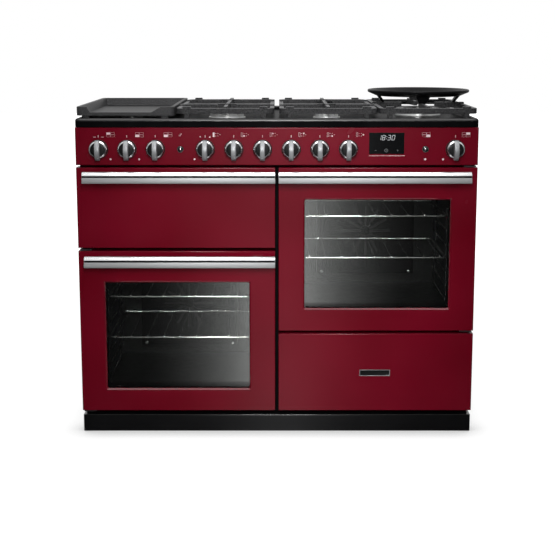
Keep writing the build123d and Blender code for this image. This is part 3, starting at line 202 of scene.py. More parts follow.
def copied(piece, name, shift=(0, 0, 0), turn=(0, 0, 0)):
    """A second piece with its own mesh, shifted or turned from the first."""
    hold(piece)
    bpy.ops.object.duplicate()
    twin = bpy.context.object
    twin.name = twin.data.name = name
    return moved(twin, shift, turn)


def repeated(pattern, places):
    """Copies of a pattern made at the origin, one at each place; the pattern itself goes."""
    twins = [copied(pattern, "twin", place) for place in places]
    bpy.data.objects.remove(pattern)
    return twins


def joined(name, pieces):
    let_go()
    for piece in pieces:
        piece.select_set(True)
    bpy.context.view_layer.objects.active = pieces[0]
    if len(pieces) > 1:
        bpy.ops.object.join()
    whole = bpy.context.object
    whole.name = whole.data.name = name
    return whole


def painted(piece, *coats):
    piece.data.materials.clear()
    for coat in coats:
        piece.data.materials.append(coat)
    return piece


FLAT = math.radians(0.5)


def dressed(node, finish, round_by=0.0, segments=2, smoothing=35):
    """A merged copy of a CAD node, its edges eased and its curves shaded smooth, that stands for it."""
    hold(nodes[node])
    bpy.ops.object.duplicate()
    piece = bpy.context.object
    bpy.ops.object.parent_clear(type="CLEAR_KEEP_TRANSFORM")
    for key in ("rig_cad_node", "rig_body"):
        del piece[key]
    piece.name = piece.data.name = node + "_dressed"
    bpy.ops.object.mode_set(mode="EDIT")
    bpy.ops.mesh.select_all(action="SELECT")
    bpy.ops.mesh.remove_doubles(threshold=WELD)
    bpy.ops.mesh.dissolve_limited(angle_limit=FLAT)
    bpy.ops.object.mode_set(mode="OBJECT")
    if round_by:
        eased(piece, round_by, segments, smoothing=smoothing)
    else:
        smooth(piece, smoothing)
    shaped(piece, "WEIGHTED_NORMAL", weight=90, keep_sharp=True)
    painted(piece, finish)
    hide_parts(node)
    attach(piece, nodes[node]["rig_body"])
    return piece


# Finishes

def shade(red, green, blue):
    """A colour as a screen shows it, 0 to 255, made linear."""
    parts = [part / 255 for part in (red, green, blue)]
    return tuple(p / 12.92 if p <= 0.04045 else ((p + 0.055) / 1.055) ** 2.4 for p in parts) + (1.0,)


def grey(light):
    return shade(light, light, light)


def cool(light):
    """A grey with a touch of blue."""
    return shade(light, light, light + 1)


WHITE = (1, 1, 1, 1)


class Value:
    """A socket that takes part in sums; each sum adds a Math node."""

    def __init__(self, nodes, socket):
        self.nodes, self.socket = nodes, socket

    def math(self, operation, first, second, clamp=False):
        return self.nodes.add("Math", {"operation": operation, "use_clamp": clamp}, {0: first, 1: second})

    def __add__(self, other):
        return self.math("ADD", self, other)

    def __radd__(self, other):
        return self.math("ADD", other, self)

    def __sub__(self, other):
        return self.math("SUBTRACT", self, other)

    def __rsub__(self, other):
        return self.math("SUBTRACT", other, self)

    def __mul__(self, other):
        return self.math("MULTIPLY", self, other)

    def __rmul__(self, other):
        return self.math("MULTIPLY", other, self)

    def __truediv__(self, other):
        return self.math("DIVIDE", self, other)

    def __pow__(self, other):
        return self.math("POWER", self, other)

    def __gt__(self, other):
        return self.math("GREATER_THAN", self, other)

    def __lt__(self, other):
        return self.math("LESS_THAN", self, other)

    def most(self, other):
        return self.math("MAXIMUM", self, other)

    def ramp(self, low, high):
        """0 below low, 1 above high, straight between."""
        return self.math("DIVIDE", self - low, high - low, clamp=True)


class Nodes:
    """The node tree of a material or the world."""

    def __init__(self, owner):
        owner.use_nodes = True
        self.owner, self.tree = owner, owner.node_tree
        self.tree.nodes.clear()

    def add(self, kind, settings=None, inputs=None, out=0):
        """Add a node: its settings first, then the values or links of its sockets."""
        node = self.tree.nodes.new("ShaderNode" + kind)
        for name, value in (settings or {}).items():
            setattr(node, name, value)
        for name, value in (inputs or {}).items():
            if isinstance(value, Value):
                self.tree.links.new(value.socket, node.inputs[name])
            else:
                node.inputs[name].default_value = value
        return Value(self, node.outputs[out]) if len(node.outputs) else None

    def place(self, part=None):
        place = self.add("TexCoord", out="Object")
        return self.add("SeparateXYZ", inputs={0: place}, out=part) if part else place

    def grain(self, size, detail=2.0, stretch=(1, 1, 1)):
        """Soft noise in grains of about that size in metres, drawn out by stretch."""
        scale = tuple(1 / (size * length) for length in stretch)
        place = self.add("Mapping", inputs={"Vector": self.place(), "Scale": scale})
        return self.add("TexNoise", inputs={"Vector": place, "Scale": 1.0, "Detail": detail})

    def upward(self):
        """How far the surface faces up: 0 on a wall, 1 on a level top."""
        turn = self.add("TexCoord", out="Normal")
        return self.add("SeparateXYZ", inputs={0: turn}, out="Z").ramp(0.45, 0.95)

    def blend(self, share, first, second):
        return self.add("Mix", {"data_type": "RGBA"}, {0: share, 6: first, 7: second}, out=2)

    def relief(self, height, depth):
        return self.add("Bump", inputs={"Strength": 1.0, "Distance": depth, "Height": height})

    def surface(self, sockets):
        shader = self.add("BsdfPrincipled", inputs=sockets)
        self.add("OutputMaterial", inputs={"Surface": shader})
        return self.owner


def finish_named(name):
    return Nodes(bpy.data.materials.new(name))


def red_enamel(name="red_enamel", gloss=0.16):
    f = finish_named(name)
    cloud = f.grain(0.24, 1.0)
    return f.surface({
        "Base Color": f.blend(cloud.ramp(0.3, 0.7), shade(87, 0, 16), shade(97, 3, 23)),
        "Roughness": 0.20 + 0.10 * f.grain(0.09, 1.0),
        "Normal": f.relief(f.grain(0.05, 1.0), 0.00006),
        "Specular IOR Level": gloss,
    })


def black_enamel():
    f = finish_named("black_enamel")
    return f.surface({
        "Base Color": f.blend(f.grain(0.12).ramp(0.3, 0.7), cool(9), shade(15, 14, 16)),
        "Roughness": 0.08 + 0.06 * f.grain(0.03),
        "Normal": f.relief(f.grain(0.02, 1.0), 0.00002),
        "Specular IOR Level": 0.3,
    })


def hob_enamel():
    """Vitreous black of the hob plate, dull but for the glaze along its front edge."""
    f = finish_named("hob_enamel")
    low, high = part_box("hob_plate")
    front_edge = (f.place("Y") < low.y + 5 * MM) * (f.place("Z") > high.z - 7 * MM)
    return f.surface({
        "Base Color": f.blend(f.grain(0.05).ramp(0.3, 0.7), cool(7), cool(12)),
        "Roughness": 0.22 + 0.16 * f.grain(0.02),
        "Normal": f.relief(f.grain(0.004, 2.0), 0.00008),
        "Specular IOR Level": 0.01,
        "Coat Weight": 0.8 * front_edge,
        "Coat Roughness": 0.32,
    })


def plinth_black():
    """Satin black, glossier along the plinth's upper edge."""
    f = finish_named("plinth_black")
    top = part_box("plinth")[1].z
    return f.surface({
        "Base Color": f.blend(f.grain(0.12).ramp(0.3, 0.7), cool(10), cool(16)),
        "Roughness": 0.30 + 0.12 * f.grain(0.03),
        "Normal": f.relief(f.grain(0.003, 1.0), 0.00002),
        "Specular IOR Level": 0.12,
        "Coat Weight": 0.8 * (f.place("Z") > top - 4 * MM),
        "Coat Roughness": 0.1,
    })


def oven_enamel(name="oven_enamel", gloss=0.3):
    f = finish_named(name)
    fleck = f.grain(0.0011, 1.0) > 0.66
    colour = f.blend(f.grain(0.06), cool(7), cool(15))
    return f.surface({
        "Base Color": f.blend(fleck, colour, shade(58, 58, 60)),
        "Roughness": 0.26 + 0.18 * f.grain(0.02),
        "Normal": f.relief(f.grain(0.003, 1.0), 0.00004),
        "Specular IOR Level": gloss,
    })


def chassis_black():
    f = finish_named("chassis_black")
    return f.surface({
        "Base Color": f.blend(f.grain(0.08), cool(17), cool(28)),
        "Roughness": 0.44 + 0.16 * f.grain(0.01),
        "Normal": f.relief(f.grain(0.0012, 2.0), 0.00006),
    })


def dark_recess():
    """Matt black, darker than the chassis: painted shade for the frame seen between the doors."""
    f = finish_named("gap_shade_black")
    return f.surface({
        "Base Color": f.blend(f.grain(0.05), cool(5), cool(10)),
        "Roughness": 0.70 + 0.15 * f.grain(0.004),
        "Normal": f.relief(f.grain(0.002, 2.0), 0.00004),
        "Specular IOR Level": 0.05,
    })


def zinc_steel():
    f = finish_named("zinc_steel")
    spangle = f.add("TexVoronoi", {"feature": "F1"}, {"Vector": f.place(), "Scale": 90.0}, out="Color")
    spangle = f.add("SeparateColor", inputs={0: spangle})
    return f.surface({
        "Base Color": f.blend(spangle, shade(166, 168, 171), shade(190, 192, 194)),
        "Metallic": 1.0,
        "Roughness": 0.40 + 0.10 * spangle,
        "Normal": f.relief(f.grain(0.006, 2.0), 0.00003),
    })


def brushed(name, dark, light, stretch, rough=0.24, size=0.0005, metal=1.0):
    """Metal with a fine grain drawn along one axis."""
    f = finish_named(name)
    line = f.grain(size, 3.0, stretch)
    return f.surface({
        "Base Color": f.blend(line.ramp(0.3, 0.7), dark, light),
        "Metallic": metal,
        "Roughness": rough + 0.14 * line + 0.05 * f.grain(0.05),
        "Normal": f.relief(line, 0.000012),
    })


def burner_alloy():
    f = finish_named("burner_alloy")
    grit = f.grain(0.0008, 3.0)
    stain = f.grain(0.03).ramp(0.45, 0.75)
    return f.surface({
        "Base Color": f.blend(stain, shade(214, 215, 215), shade(184, 183, 181)),
        "Metallic": 0.65,
        "Roughness": 0.22 + 0.18 * grit,
        "Normal": f.relief(grit, 0.00005),
    })


def cast_iron():
    f = finish_named("cast_iron")
    sand = f.grain(0.0013, 4.0)
    lump = f.grain(0.0048, 2.0)
    mottle = (0.6 * sand + 0.4 * lump).ramp(0.36, 0.64)
    rough_skin = f.blend(mottle, cool(12), cool(66))
    # A lighter copy of the iron for faces that look up: painted light on the tops of the bars
    painted_top_light = f.blend(mottle, cool(62), cool(118))
    return f.surface({
        "Base Color": f.blend(f.upward(), rough_skin, painted_top_light),
        "Roughness": 0.34 + 0.22 * sand,
        "Normal": f.relief(sand + 0.8 * lump, 0.0006),
        "Specular IOR Level": 0.08,
    })


def satin_iron(name, dark, light, top, rough, gloss):
    """Coated iron of the wok ring and the griddle, smoother than the pan supports."""
    f = finish_named(name)
    sand = f.grain(0.0014, 3.0)
    skin = f.blend(sand.ramp(0.3, 0.7), cool(dark), cool(light))
    return f.surface({
        # Faces that look up take the flat colour top; on the griddle it is darker than the walls, painted
        # shade on its floor
        "Base Color": f.blend(f.upward(), skin, cool(top)),
        "Roughness": rough + 0.12 * sand,
        "Normal": f.relief(sand, 0.00012),
        "Specular IOR Level": gloss,
    })


def chrome_wire(name="chrome_wire", light=238):
    f = finish_named(name)
    return f.surface({
        "Base Color": f.blend(f.grain(0.02), grey(light - 24), grey(light)),
        "Metallic": 1.0,
        "Roughness": 0.21 + 0.08 * f.grain(0.004),
    })


WINDOW_SIDE, WINDOW_SILL, WINDOW_HEIGHT = 67.375 * MM, 59.5 * MM, 312.0 * MM


def window_of(door):
    """The opening of an oven door: its left, right, bottom and top."""
    low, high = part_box(door + "_front")
    bottom = low.z + WINDOW_SILL
    return low.x + WINDOW_SIDE, high.x - WINDOW_SIDE, bottom, bottom + WINDOW_HEIGHT


def oven_glass(door):
    """Lightly smoked glass: it mirrors more the flatter it is seen, and less near the edges of the window, a
    painted shade round the opening.
    """
    f = finish_named(door + "_glass")
    left, right, bottom, top = window_of(door)
    x, z = f.place("X"), f.place("Z")
    # Weaker mirroring near the window's edges: painted shade
    away_from_edge_shade = (x - left).ramp(0.0, 0.008) * (right - x).ramp(0.0, 0.008)
    away_from_edge_shade = away_from_edge_shade * (z - bottom).ramp(0.0, 0.016) * (top - z).ramp(-0.004, 0.004)
    clear = f.add("BsdfTransparent", inputs={"Color": shade(250, 251, 250)})
    mirror = f.add("BsdfGlossy", inputs={"Color": WHITE, "Roughness": 0.02 + 0.02 * f.grain(0.03)})
    gloss = f.add("Fresnel", inputs={"IOR": 1.5}) * (0.25 + 0.75 * away_from_edge_shade)
    shader = f.add("MixShader", inputs={0: gloss, 1: clear, 2: mirror})
    f.add("OutputMaterial", inputs={"Surface": shader})
    return f.owner


def display_glass():
    f = finish_named("display_glass")
    return f.surface({
        "Base Color": f.blend(f.grain(0.02), shade(7, 8, 9), shade(13, 14, 15)),
        "Roughness": 0.05 + 0.06 * f.grain(0.012),
        "Specular IOR Level": 0.35,
    })


def satin_black(name, light, rough, gloss=0.4):
    f = finish_named(name)
    return f.surface({
        "Base Color": f.blend(f.grain(0.008), cool(light - 10), shade(light, light + 1, light + 1)),
        "Roughness": rough + 0.12 * f.grain(0.002),
        "Normal": f.relief(f.grain(0.0006, 2.0), 0.00003),
        "Specular IOR Level": gloss,
    })


def gloss_black():
    f = finish_named("button_black")
    return f.surface({
        "Base Color": f.blend(f.grain(0.004), cool(6), cool(12)),
        "Roughness": 0.03 + 0.04 * f.grain(0.002),
        "Specular IOR Level": 0.9,
    })


def bright_chrome():
    f = finish_named("bright_chrome")
    return f.surface({
        "Base Color": f.blend(f.grain(0.01), shade(206, 208, 210), shade(232, 233, 235)),
        "Metallic": 1.0,
        "Roughness": 0.06 + 0.07 * f.grain(0.003),
    })


def ceramic():
    f = finish_named("ceramic")
    return f.surface({
        "Base Color": f.blend(f.grain(0.002), shade(206, 203, 196), shade(226, 223, 216)),
        "Roughness": 0.30 + 0.12 * f.grain(0.001),
        "Normal": f.relief(f.grain(0.0008, 2.0), 0.00002),
    })


def seal_rubber():
    f = finish_named("seal_rubber")
    return f.surface({
        "Base Color": f.blend(f.grain(0.006), grey(20), cool(34)),
        "Roughness": 0.70 + 0.16 * f.grain(0.002),
        "Normal": f.relief(f.grain(0.001, 2.0), 0.00006),
    })


def print_white():
    f = finish_named("print_white")
    return f.surface({
        "Base Color": f.blend(f.grain(0.002), shade(186, 158, 162), shade(214, 194, 197)),
        "Roughness": 0.40 + 0.16 * f.grain(0.001),
    })


def clock_light(name, low, high, strength):
    f = finish_named(name)
    glow = f.blend(f.grain(0.004), low, high)
    return f.surface({
        "Base Color": f.blend(f.grain(0.003), shade(30, 32, 33), shade(40, 42, 43)),
        "Roughness": 0.30 + 0.10 * f.grain(0.002),
        "Emission Color": glow,
        "Emission Strength": strength,
    })


ALONG_X = (90, 1, 1)
ALONG_Z = (1, 1, 60)

finishes = {
    "red_enamel": red_enamel(),
    "black_enamel": black_enamel(),
    "oven_enamel": oven_enamel(),
    "chassis_black": chassis_black(),
    "zinc_steel": zinc_steel(),
    "bright_handle": brushed("bright_handle", shade(138, 139, 140), shade(156, 157, 158), ALONG_X, 0.44,
                             metal=0.35),
    "burner_alloy": burner_alloy(),
    "cast_iron": cast_iron(),
    "chrome_wire": chrome_wire(),
    "oven_glass": oven_glass("left_oven_door"),
    "display_glass": display_glass(),
    "knob_black_chrome": satin_black("knob_face", 18, 0.34, 0.15),
    "button_black": gloss_black(),
    "switch_plastic": satin_black("switch_plastic", 46, 0.45),
    "seal_rubber": seal_rubber(),
    "tap_alloy": brushed("tap_alloy", shade(146, 145, 142), shade(182, 180, 176), (1, 1, 20), 0.34),
}
knob_grip = brushed("knob_grip", shade(118, 120, 122), shade(144, 145, 147), ALONG_Z, 0.40, 0.0006, 0.5)
skirt_chrome = bright_chrome()
# A brighter copy of the handle's finish for the slope over its groove: a painted highlight
handle_highlight = brushed("handle_highlight", shade(214, 215, 216), cool(236), ALONG_X, 0.16, metal=0.9)
gap_shade_black = dark_recess()
edge_enamel = red_enamel("edge_enamel", 0.45)
wok_iron = satin_iron("satin_iron", 12, 22, 18, 0.30, 0.06)
# The griddle's floor is darker than its walls: painted shade
griddle_iron = satin_iron("griddle_iron", 20, 76, 28, 0.30, 0.08)
plinth_paint = plinth_black()
hob_paint = hob_enamel()
marks_white = print_white()
spark_ceramic = ceramic()
rack_wire = chrome_wire("rack_wire", 132)


# CAD nodes and their dressed copies

for name, node in nodes.items():
    painted(node, finishes[slot_of[name]])
# The frame seen through the gaps between the doors takes painted shade
painted(nodes["front_frame"], gap_shade_black)
painted(nodes["fan_covers"], oven_enamel("cover_enamel", 0.04))
painted(nodes["right_oven_door_glass"], oven_glass("right_oven_door"))

# Each node with the width its edges are rounded by
SMOOTHED = {
    "left_oven_door_front": 0.0, "right_oven_door_front": 0.0, "grill_door_front": 0.0, "drawer_front": 0.0,
    "control_panel": 0.0, "hob_plate": 0.0, "plinth": 2.8 * MM, "side_panels": 0.0,
    "ladder_racks": 0.0, "grill_trivet": 0.0, "heating_elements": 0.0, "burner_heads": 0.5 * MM,
    "gas_rail": 0.0, "levelling_feet": 0.0, "left_oven_fan": 0.0, "right_oven_fan": 0.0, "fan_motors": 0.0,
    "burner_caps": 1.2 * MM, "clock_display": 0.6 * MM, "hinge_brackets": 0.0, "base_frame": 0.0,
}
# Nodes with a finish of their own, and the one that is shaded smooth past sharper edges
SPECIAL = {
    # The base frame takes the same painted shade black
    "plinth": plinth_paint, "base_frame": gap_shade_black, "hob_plate": hob_paint,
    "ladder_racks": rack_wire, "left_oven_fan": rack_wire, "right_oven_fan": rack_wire,
}
SMOOTHING = {"ladder_racks": 62}
for name, round_by in SMOOTHED.items():
    finish = SPECIAL.get(name, finishes[slot_of[name]])
    dressed(name, finish, round_by, smoothing=SMOOTHING.get(name, 35))
for name in ("left_centre_pan_support", "right_centre_pan_support", "wok_pan_support"):
    dressed(name, finishes["cast_iron"], 1.8 * MM, 3)
dressed("griddle", griddle_iron, 1.6 * MM, 3)


# Knobs

def knob_pattern(back):
    """A chrome skirt, a satin face and an arched grip on a spindle; it faces along the upright axis."""
    seat = turned("seat", [(0, 0), (25.5, 0), (26.2, 0.5), (26.3, 3.4), (25.7, 4.2), (0, 4.2)])
    skirt = turned("skirt", [(0, 4.0), (24.2, 4.0), (24.6, 4.6), (24.6, 12.6), (24.2, 13.6), (20.7, 17.1),
                             (20.1, 17.4), (19.6, 17.0), (19.4, 16.0), (0, 16.0)])
    face = turned("face", [(0, 15.9), (19.35, 15.9), (19.3, 16.6), (18.6, 17.0), (12.0, 17.6), (0, 18.0)])
    spindle = turned("spindle", [(0, 1.0), (4.0, 1.0), (4.0, -back + 1.0), (3.2, -back), (0, -back)], 24)
    top, bottom, reach, rise, root, width = 26.0, -29.0, 36.5, 18.0, 13.0, 12.6
    half = (top - bottom) / 2
    radius = (half * half + rise * rise) / (2 * rise)
    middle = (top + bottom) / 2
    swing = math.asin(half / radius)
    arc, steps = [], 16
    for step in range(steps + 1):
        angle = swing - 2 * swing * step / steps
        arc.append((middle + radius * math.sin(angle), reach - radius + radius * math.cos(angle)))
    outline = [(top - 4.0, root)] + arc + [(bottom + 6.0, root)]
    grip = plate("grip", [(-width / 2, up, out) for up, out in outline], (width, 0, 0))
    eased(grip, 1.3, 3, 35, 40)
    pieces = [skirt, seat, face, spindle, grip]
    black = finishes["knob_black_chrome"]
    for piece, finish in zip(pieces, (skirt_chrome, black, black, skirt_chrome, knob_grip)):
        painted(smooth(piece, 38), finish)
    knob = joined("knob", pieces)
    knob.scale = (MM, MM, MM)
    return moved(knob, turn=TO_FRONT)


KNOBS = [name for name in nodes if name.endswith("_knob")]
knob_low, knob_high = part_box(KNOBS[0])
KNOB_Z = knob_low.z + 26.5 * MM
SKIRT_Y = FACE_Y - 1.5 * MM
pattern = knob_pattern((knob_high.y - SKIRT_Y) / MM)
for name in KNOBS:
    low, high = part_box(name)
    knob = copied(pattern, name + "_dressed", ((low.x + high.x) / 2, SKIRT_Y, KNOB_Z))
    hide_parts(name)
    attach(knob, name)
bpy.data.objects.remove(pattern)


# Rolled edges of the oven windows

def rounded_outline(left, right, bottom, top, radius, y):
    points = []
    for cx, cz, start in ((right, top, 0), (left, top, 90), (left, bottom, 180), (right, bottom, 270)):
        cx += radius if cx == left else -radius
        cz += radius if cz == bottom else -radius
        for step in range(5):
            angle = math.radians(start + 22.5 * step)
            points.append((cx + radius * math.cos(angle), y, cz + radius * math.sin(angle)))
    return points


for door in ("left_oven_door", "right_oven_door"):
    left, right, bottom, top = window_of(door)
    centre = ((left + right) / 2, FACE_Y, (bottom + top) / 2)
    outline = rounded_outline(left, right, bottom, top, 5 * MM, FACE_Y - 0.05 * MM)
    shrink = (1 - 6.0 * MM / (right - left), 1, 1 - 7.0 * MM / (top - bottom))
    steps = [((0, 4.0 * MM, 0), shrink, centre), ((0, 3.0 * MM, 0), (1, 1, 1), centre)]
    edge = hoop(door + "_window_edge", outline, steps, 0.8 * MM)
    painted(smooth(edge, 30), edge_enamel)
    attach(edge, door)


# Door handles

# Depth and height round the bar's section, with a groove in its front
BAR_SECTION = [(3.4, 0.0), (1.5, 0.8), (0.5, 2.6), (0.0, 5.5), (0.1, 9.0), (0.6, 12.6), (1.5, 15.6),
               (4.4, 15.8), (4.4, 20.4), (1.6, 20.6), (1.9, 21.6), (9.6, 29.2), (11.2, 30.0), (15.0, 30.0),
               (17.2, 29.2), (18.0, 27.0), (18.0, 3.0), (17.2, 0.8), (15.0, 0.0)]
POST_INSET, POST_HALF = 50 * MM, 18 * MM
for door in ("left_oven_door", "right_oven_door", "grill_door"):
    low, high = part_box(door + "_handle")
    section = [(low.x, low.y + depth * MM, low.z + height * MM) for depth, height in BAR_SECTION]
    handle_bar = eased(plate("handle_bar", section, (high.x - low.x, 0, 0)), 0.7 * MM, 2, 80, 30)
    x = low.x + POST_INSET
    post = block("post", (x - POST_HALF, low.y + 17.5 * MM, low.z + 6 * MM),
                 (x + POST_HALF, high.y, high.z - 6 * MM))
    eased(post, 2.5 * MM, 3)
    posts = [post, copied(post, "post", (high.x - low.x - 2 * POST_INSET, 0, 0))]
    # A dark strip set in the groove: painted shade
    line = block("groove_shade_strip", (low.x + 1.2 * MM, low.y + 2.2 * MM, low.z + 15.7 * MM),
                 (high.x - 1.2 * MM, low.y + 4.6 * MM, low.z + 20.5 * MM))
    for part in [handle_bar] + posts:
        painted(part, finishes["bright_handle"], handle_highlight)
    # The slope over the groove takes a brighter, glossier copy of the finish: a painted highlight
    for face in handle_bar.data.polygons:
        face.material_index = int(face.normal.z > 0.4 and face.normal.y < -0.3)
    painted(line, gap_shade_black)
    handle = joined(door + "_handle_dressed", [handle_bar] + posts + [line])
    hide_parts(door + "_handle")
    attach(handle, door)


# Buttons

def button_pattern(length):
    """A glossy dome with a bright pip."""
    dome = upright("dome", [(0, -length), (5.4, -length), (5.4, -2.6), (5.3, -1.8), (4.9, -1.15),
                            (4.2, -0.74), (3.4, -0.48), (2.4, -0.24), (1.2, -0.06), (0, 0)], TO_FRONT, 40, 40)
    pip = upright("pip", [(0, -0.6), (2.2, -0.6), (2.1, -0.05), (1.6, 0.3), (0.9, 0.5), (0, 0.58)],
                  TO_FRONT, 32, 40)
    painted(dome, finishes["button_black"])
    painted(pip, skirt_chrome)
    return joined("button", [dome, pip])


def collar_pattern():
    collar = upright("collar", [(5.7, -0.1), (5.7, 2.2), (6.3, 2.9), (7.2, 2.7), (8.4, 1.6), (9.0, 0.4),
                                (9.0, -0.1), (5.7, -0.1)], TO_FRONT, 48, 40)
    return painted(collar, finishes["button_black"])


BUTTONS = ("ignition_button", "drawer_button")
button_low, button_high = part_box(BUTTONS[0])
button, trim = button_pattern((button_high.y - button_low.y) / MM), collar_pattern()
for name in BUTTONS:
    low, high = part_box(name)
    x = (low.x + high.x) / 2
    dome = copied(button, name + "_dressed", (x, low.y, KNOB_Z))
    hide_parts(name)
    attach(dome, name)
    collar = copied(trim, name + "_collar", (x, FACE_Y, KNOB_Z))
    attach(collar, "cooker_body")
for pattern in (button, trim):
    bpy.data.objects.remove(pattern)


# Marks printed on the panel; their points are in millimetres from its middle and from the floor

def oblong(x, z, width, height):
    """The corners of an upright oblong centred at x and z."""
    w, h = width / 2, height / 2
    return [(x - w, z - h), (x + w, z - h), (x + w, z + h), (x - w, z + h)]


def disc(x, z, radius, sides):
    turns = [2 * math.pi * i / sides for i in range(sides)]
    return [(x + radius * math.cos(turn), z + radius * math.sin(turn)) for turn in turns]


def flat(points, y, half):
    """A thin shape that stands half its thickness proud of the surface at y."""
    return plate("flat", [(MIDDLE_X + x * MM, y - half, z * MM) for x, z in points], (0, 2 * half, 0))


def mark(points):
    """A shape printed on the panel."""
    return flat(points, FACE_Y, 0.12 * MM)


def bar(x, z, width, height):
    return mark(oblong(x, z, width, height))


def dot(x, z, radius):
    return mark(disc(x, z, radius, 16))


def box_outline(x, z, width, height, line):
    return [bar(x, z + height / 2 - line / 2, width, line), bar(x, z - height / 2 + line / 2, width, line),
            bar(x - width / 2 + line / 2, z, line, height), bar(x + width / 2 - line / 2, z, line, height)]


def oven_sign(x, z, column, row):
    """Four compartments of the cooker, with one of them filled."""
    cell_w, cell_h, gap = 10.6, 5.6, 0.8
    shapes = []
    for c in (0, 1):
        for r in (0, 1):
            cx, cz = x + (c - 0.5) * (cell_w + gap), z + (r - 0.5) * (cell_h + gap)
            if (c, r) == (column, row):
                shapes.append(bar(cx, cz, cell_w, cell_h))
            else:
                shapes += box_outline(cx, cz, cell_w, cell_h, 0.3)
    return shapes


HOB_ZONES = [(-8.5, 0.0), (-3.0, -3.4), (-3.0, 3.4), (3.0, 3.4), (3.0, -3.4), (8.5, 0.0)]


def hob_sign(x, z, chosen):
    """The six cooking zones of the hob, with one of them filled."""
    shapes = []
    for i, (dx, dz) in enumerate(HOB_ZONES):
        if i == 0:
            shapes += [bar(x + dx, z, 4.4, 11.5)] if chosen == 0 else box_outline(x + dx, z, 4.4, 11.0, 0.5)
        else:
            shapes.append(dot(x + dx, z + dz, 2.0 if i == chosen else 0.8))
    return shapes


SIGN_Z, TICK_Z, DOT_Z = 838.4, 834.0, 771.8
TICKS_X = [-482.5, -405.5, -328.5, 482.5, -193.75, -116.25, -38.75, 38.75, 116.25, 193.75]
OVEN_SIGNS = [(-449.0, 0, 1), (-371.2, 0, 0), (-294.0, 0, 0), (511.0, 1, 1), (403.5, 1, 0)]
HOB_SIGNS_X = [-162.0, -85.6, -7.8, 69.5, 146.5, 225.1]
DOTS_X = [-450.5, -373.0, -223.0, 450.0, 402.0]
GRILL_HEATS = [(-492.0, 832.0, 7.0, 1.2), (-471.0, 832.0, 7.0, 1.2)]
FLAMES = [(-207.0, 833.0, 1.6), (-181.0, 832.0, 1.6)]
SPARK = [(-260.5, 838.0, 1.0, 7.0), (-263.5, 836.0, 1.0, 4.0), (-257.5, 840.0, 1.0, 4.0)]
CLOCK_RULE = (298.0, 781.5, 97.0, 1.2)

shapes = [bar(x, TICK_Z, 1.3, 6.0) for x in TICKS_X]
for x, column, row in OVEN_SIGNS:
    shapes += oven_sign(x, SIGN_Z, column, row)
for i, x in enumerate(HOB_SIGNS_X):
    shapes += hob_sign(x, SIGN_Z, i)
shapes += [dot(x, DOT_Z, 2.6) for x in DOTS_X]
shapes += [bar(*sizes) for sizes in GRILL_HEATS] + [dot(*sizes) for sizes in FLAMES]
shapes += [bar(*sizes) for sizes in SPARK] + [bar(*CLOCK_RULE)]
marks = joined("panel_marks", shapes)
painted(marks, marks_white)
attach(marks, "cooker_body")


# Clock

SEGMENTS = {"1": "bc", "3": "abcdg", "8": "abcdefg", "0": "abcdef"}
DISPLAY_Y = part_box("clock_display")[0].y
LEAN = 0.2


def lit(points):
    """A shape that glows on the display."""
    return flat(points, DISPLAY_Y, 0.08 * MM)


def segment(letter, x, z, width, height, thick):
    """One bar of a figure, with pointed ends; the figure leans a little to the right."""
    w, h, t = width / 2, height / 2, thick / 2
    level = {"a": h, "g": 0.0, "d": -h}
    if letter in level:
        cz = level[letter]
        line = [(-w + t, cz - t), (w - t, cz - t), (w - 0.2, cz), (w - t, cz + t), (-w + t, cz + t),
                (-w + 0.2, cz)]
    else:
        cx = w if letter in "bc" else -w
        low = 0.0 if letter in "bf" else -h
        line = [(cx, low + 0.2), (cx + t, low + t), (cx + t, low + h - t), (cx, low + h - 0.2),
                (cx - t, low + h - t), (cx - t, low + t)]
    return lit([(x + px + LEAN * pz, z + pz) for px, pz in line])


FIGURES = [("1", 278.0), ("8", 288.6), ("3", 303.4), ("0", 314.8)]
figures = [segment(letter, x, 830.5, 6.9, 12.6, 0.8) for figure, x in FIGURES for letter in SEGMENTS[figure]]
figures += [lit(disc(x, z, 0.75, 14)) for x, z in ((296.7, 833.6), (295.5, 827.4))]
digits = joined("clock_figures", figures)
painted(digits, clock_light("clock_figures", shade(226, 232, 236), shade(246, 248, 250), 1.0))
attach(digits, "cooker_body")

# A minus, a plus and a dial with its hands
TOUCH_Z = 796.0
MINUS_X, DIAL_X, PLUS_X = 267.3, 296.0, 326.6
touch = [oblong(x, TOUCH_Z, 4.6, 0.9) for x in (MINUS_X, PLUS_X)] + [oblong(PLUS_X, TOUCH_Z, 0.9, 4.6)]
touch += [oblong(x, z, 1.3, 1.3) for x, z in disc(DIAL_X, TOUCH_Z, 4.2, 16)]
touch += [oblong(DIAL_X, TOUCH_Z + 1.2, 0.7, 2.6), oblong(DIAL_X + 0.9, TOUCH_Z, 2.0, 0.7)]
touch = joined("clock_touch_marks", [lit(points) for points in touch])
painted(touch, clock_light("clock_touch", shade(120, 124, 126), shade(140, 143, 145), 0.5))
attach(touch, "cooker_body")


# Drawer plate, left bare

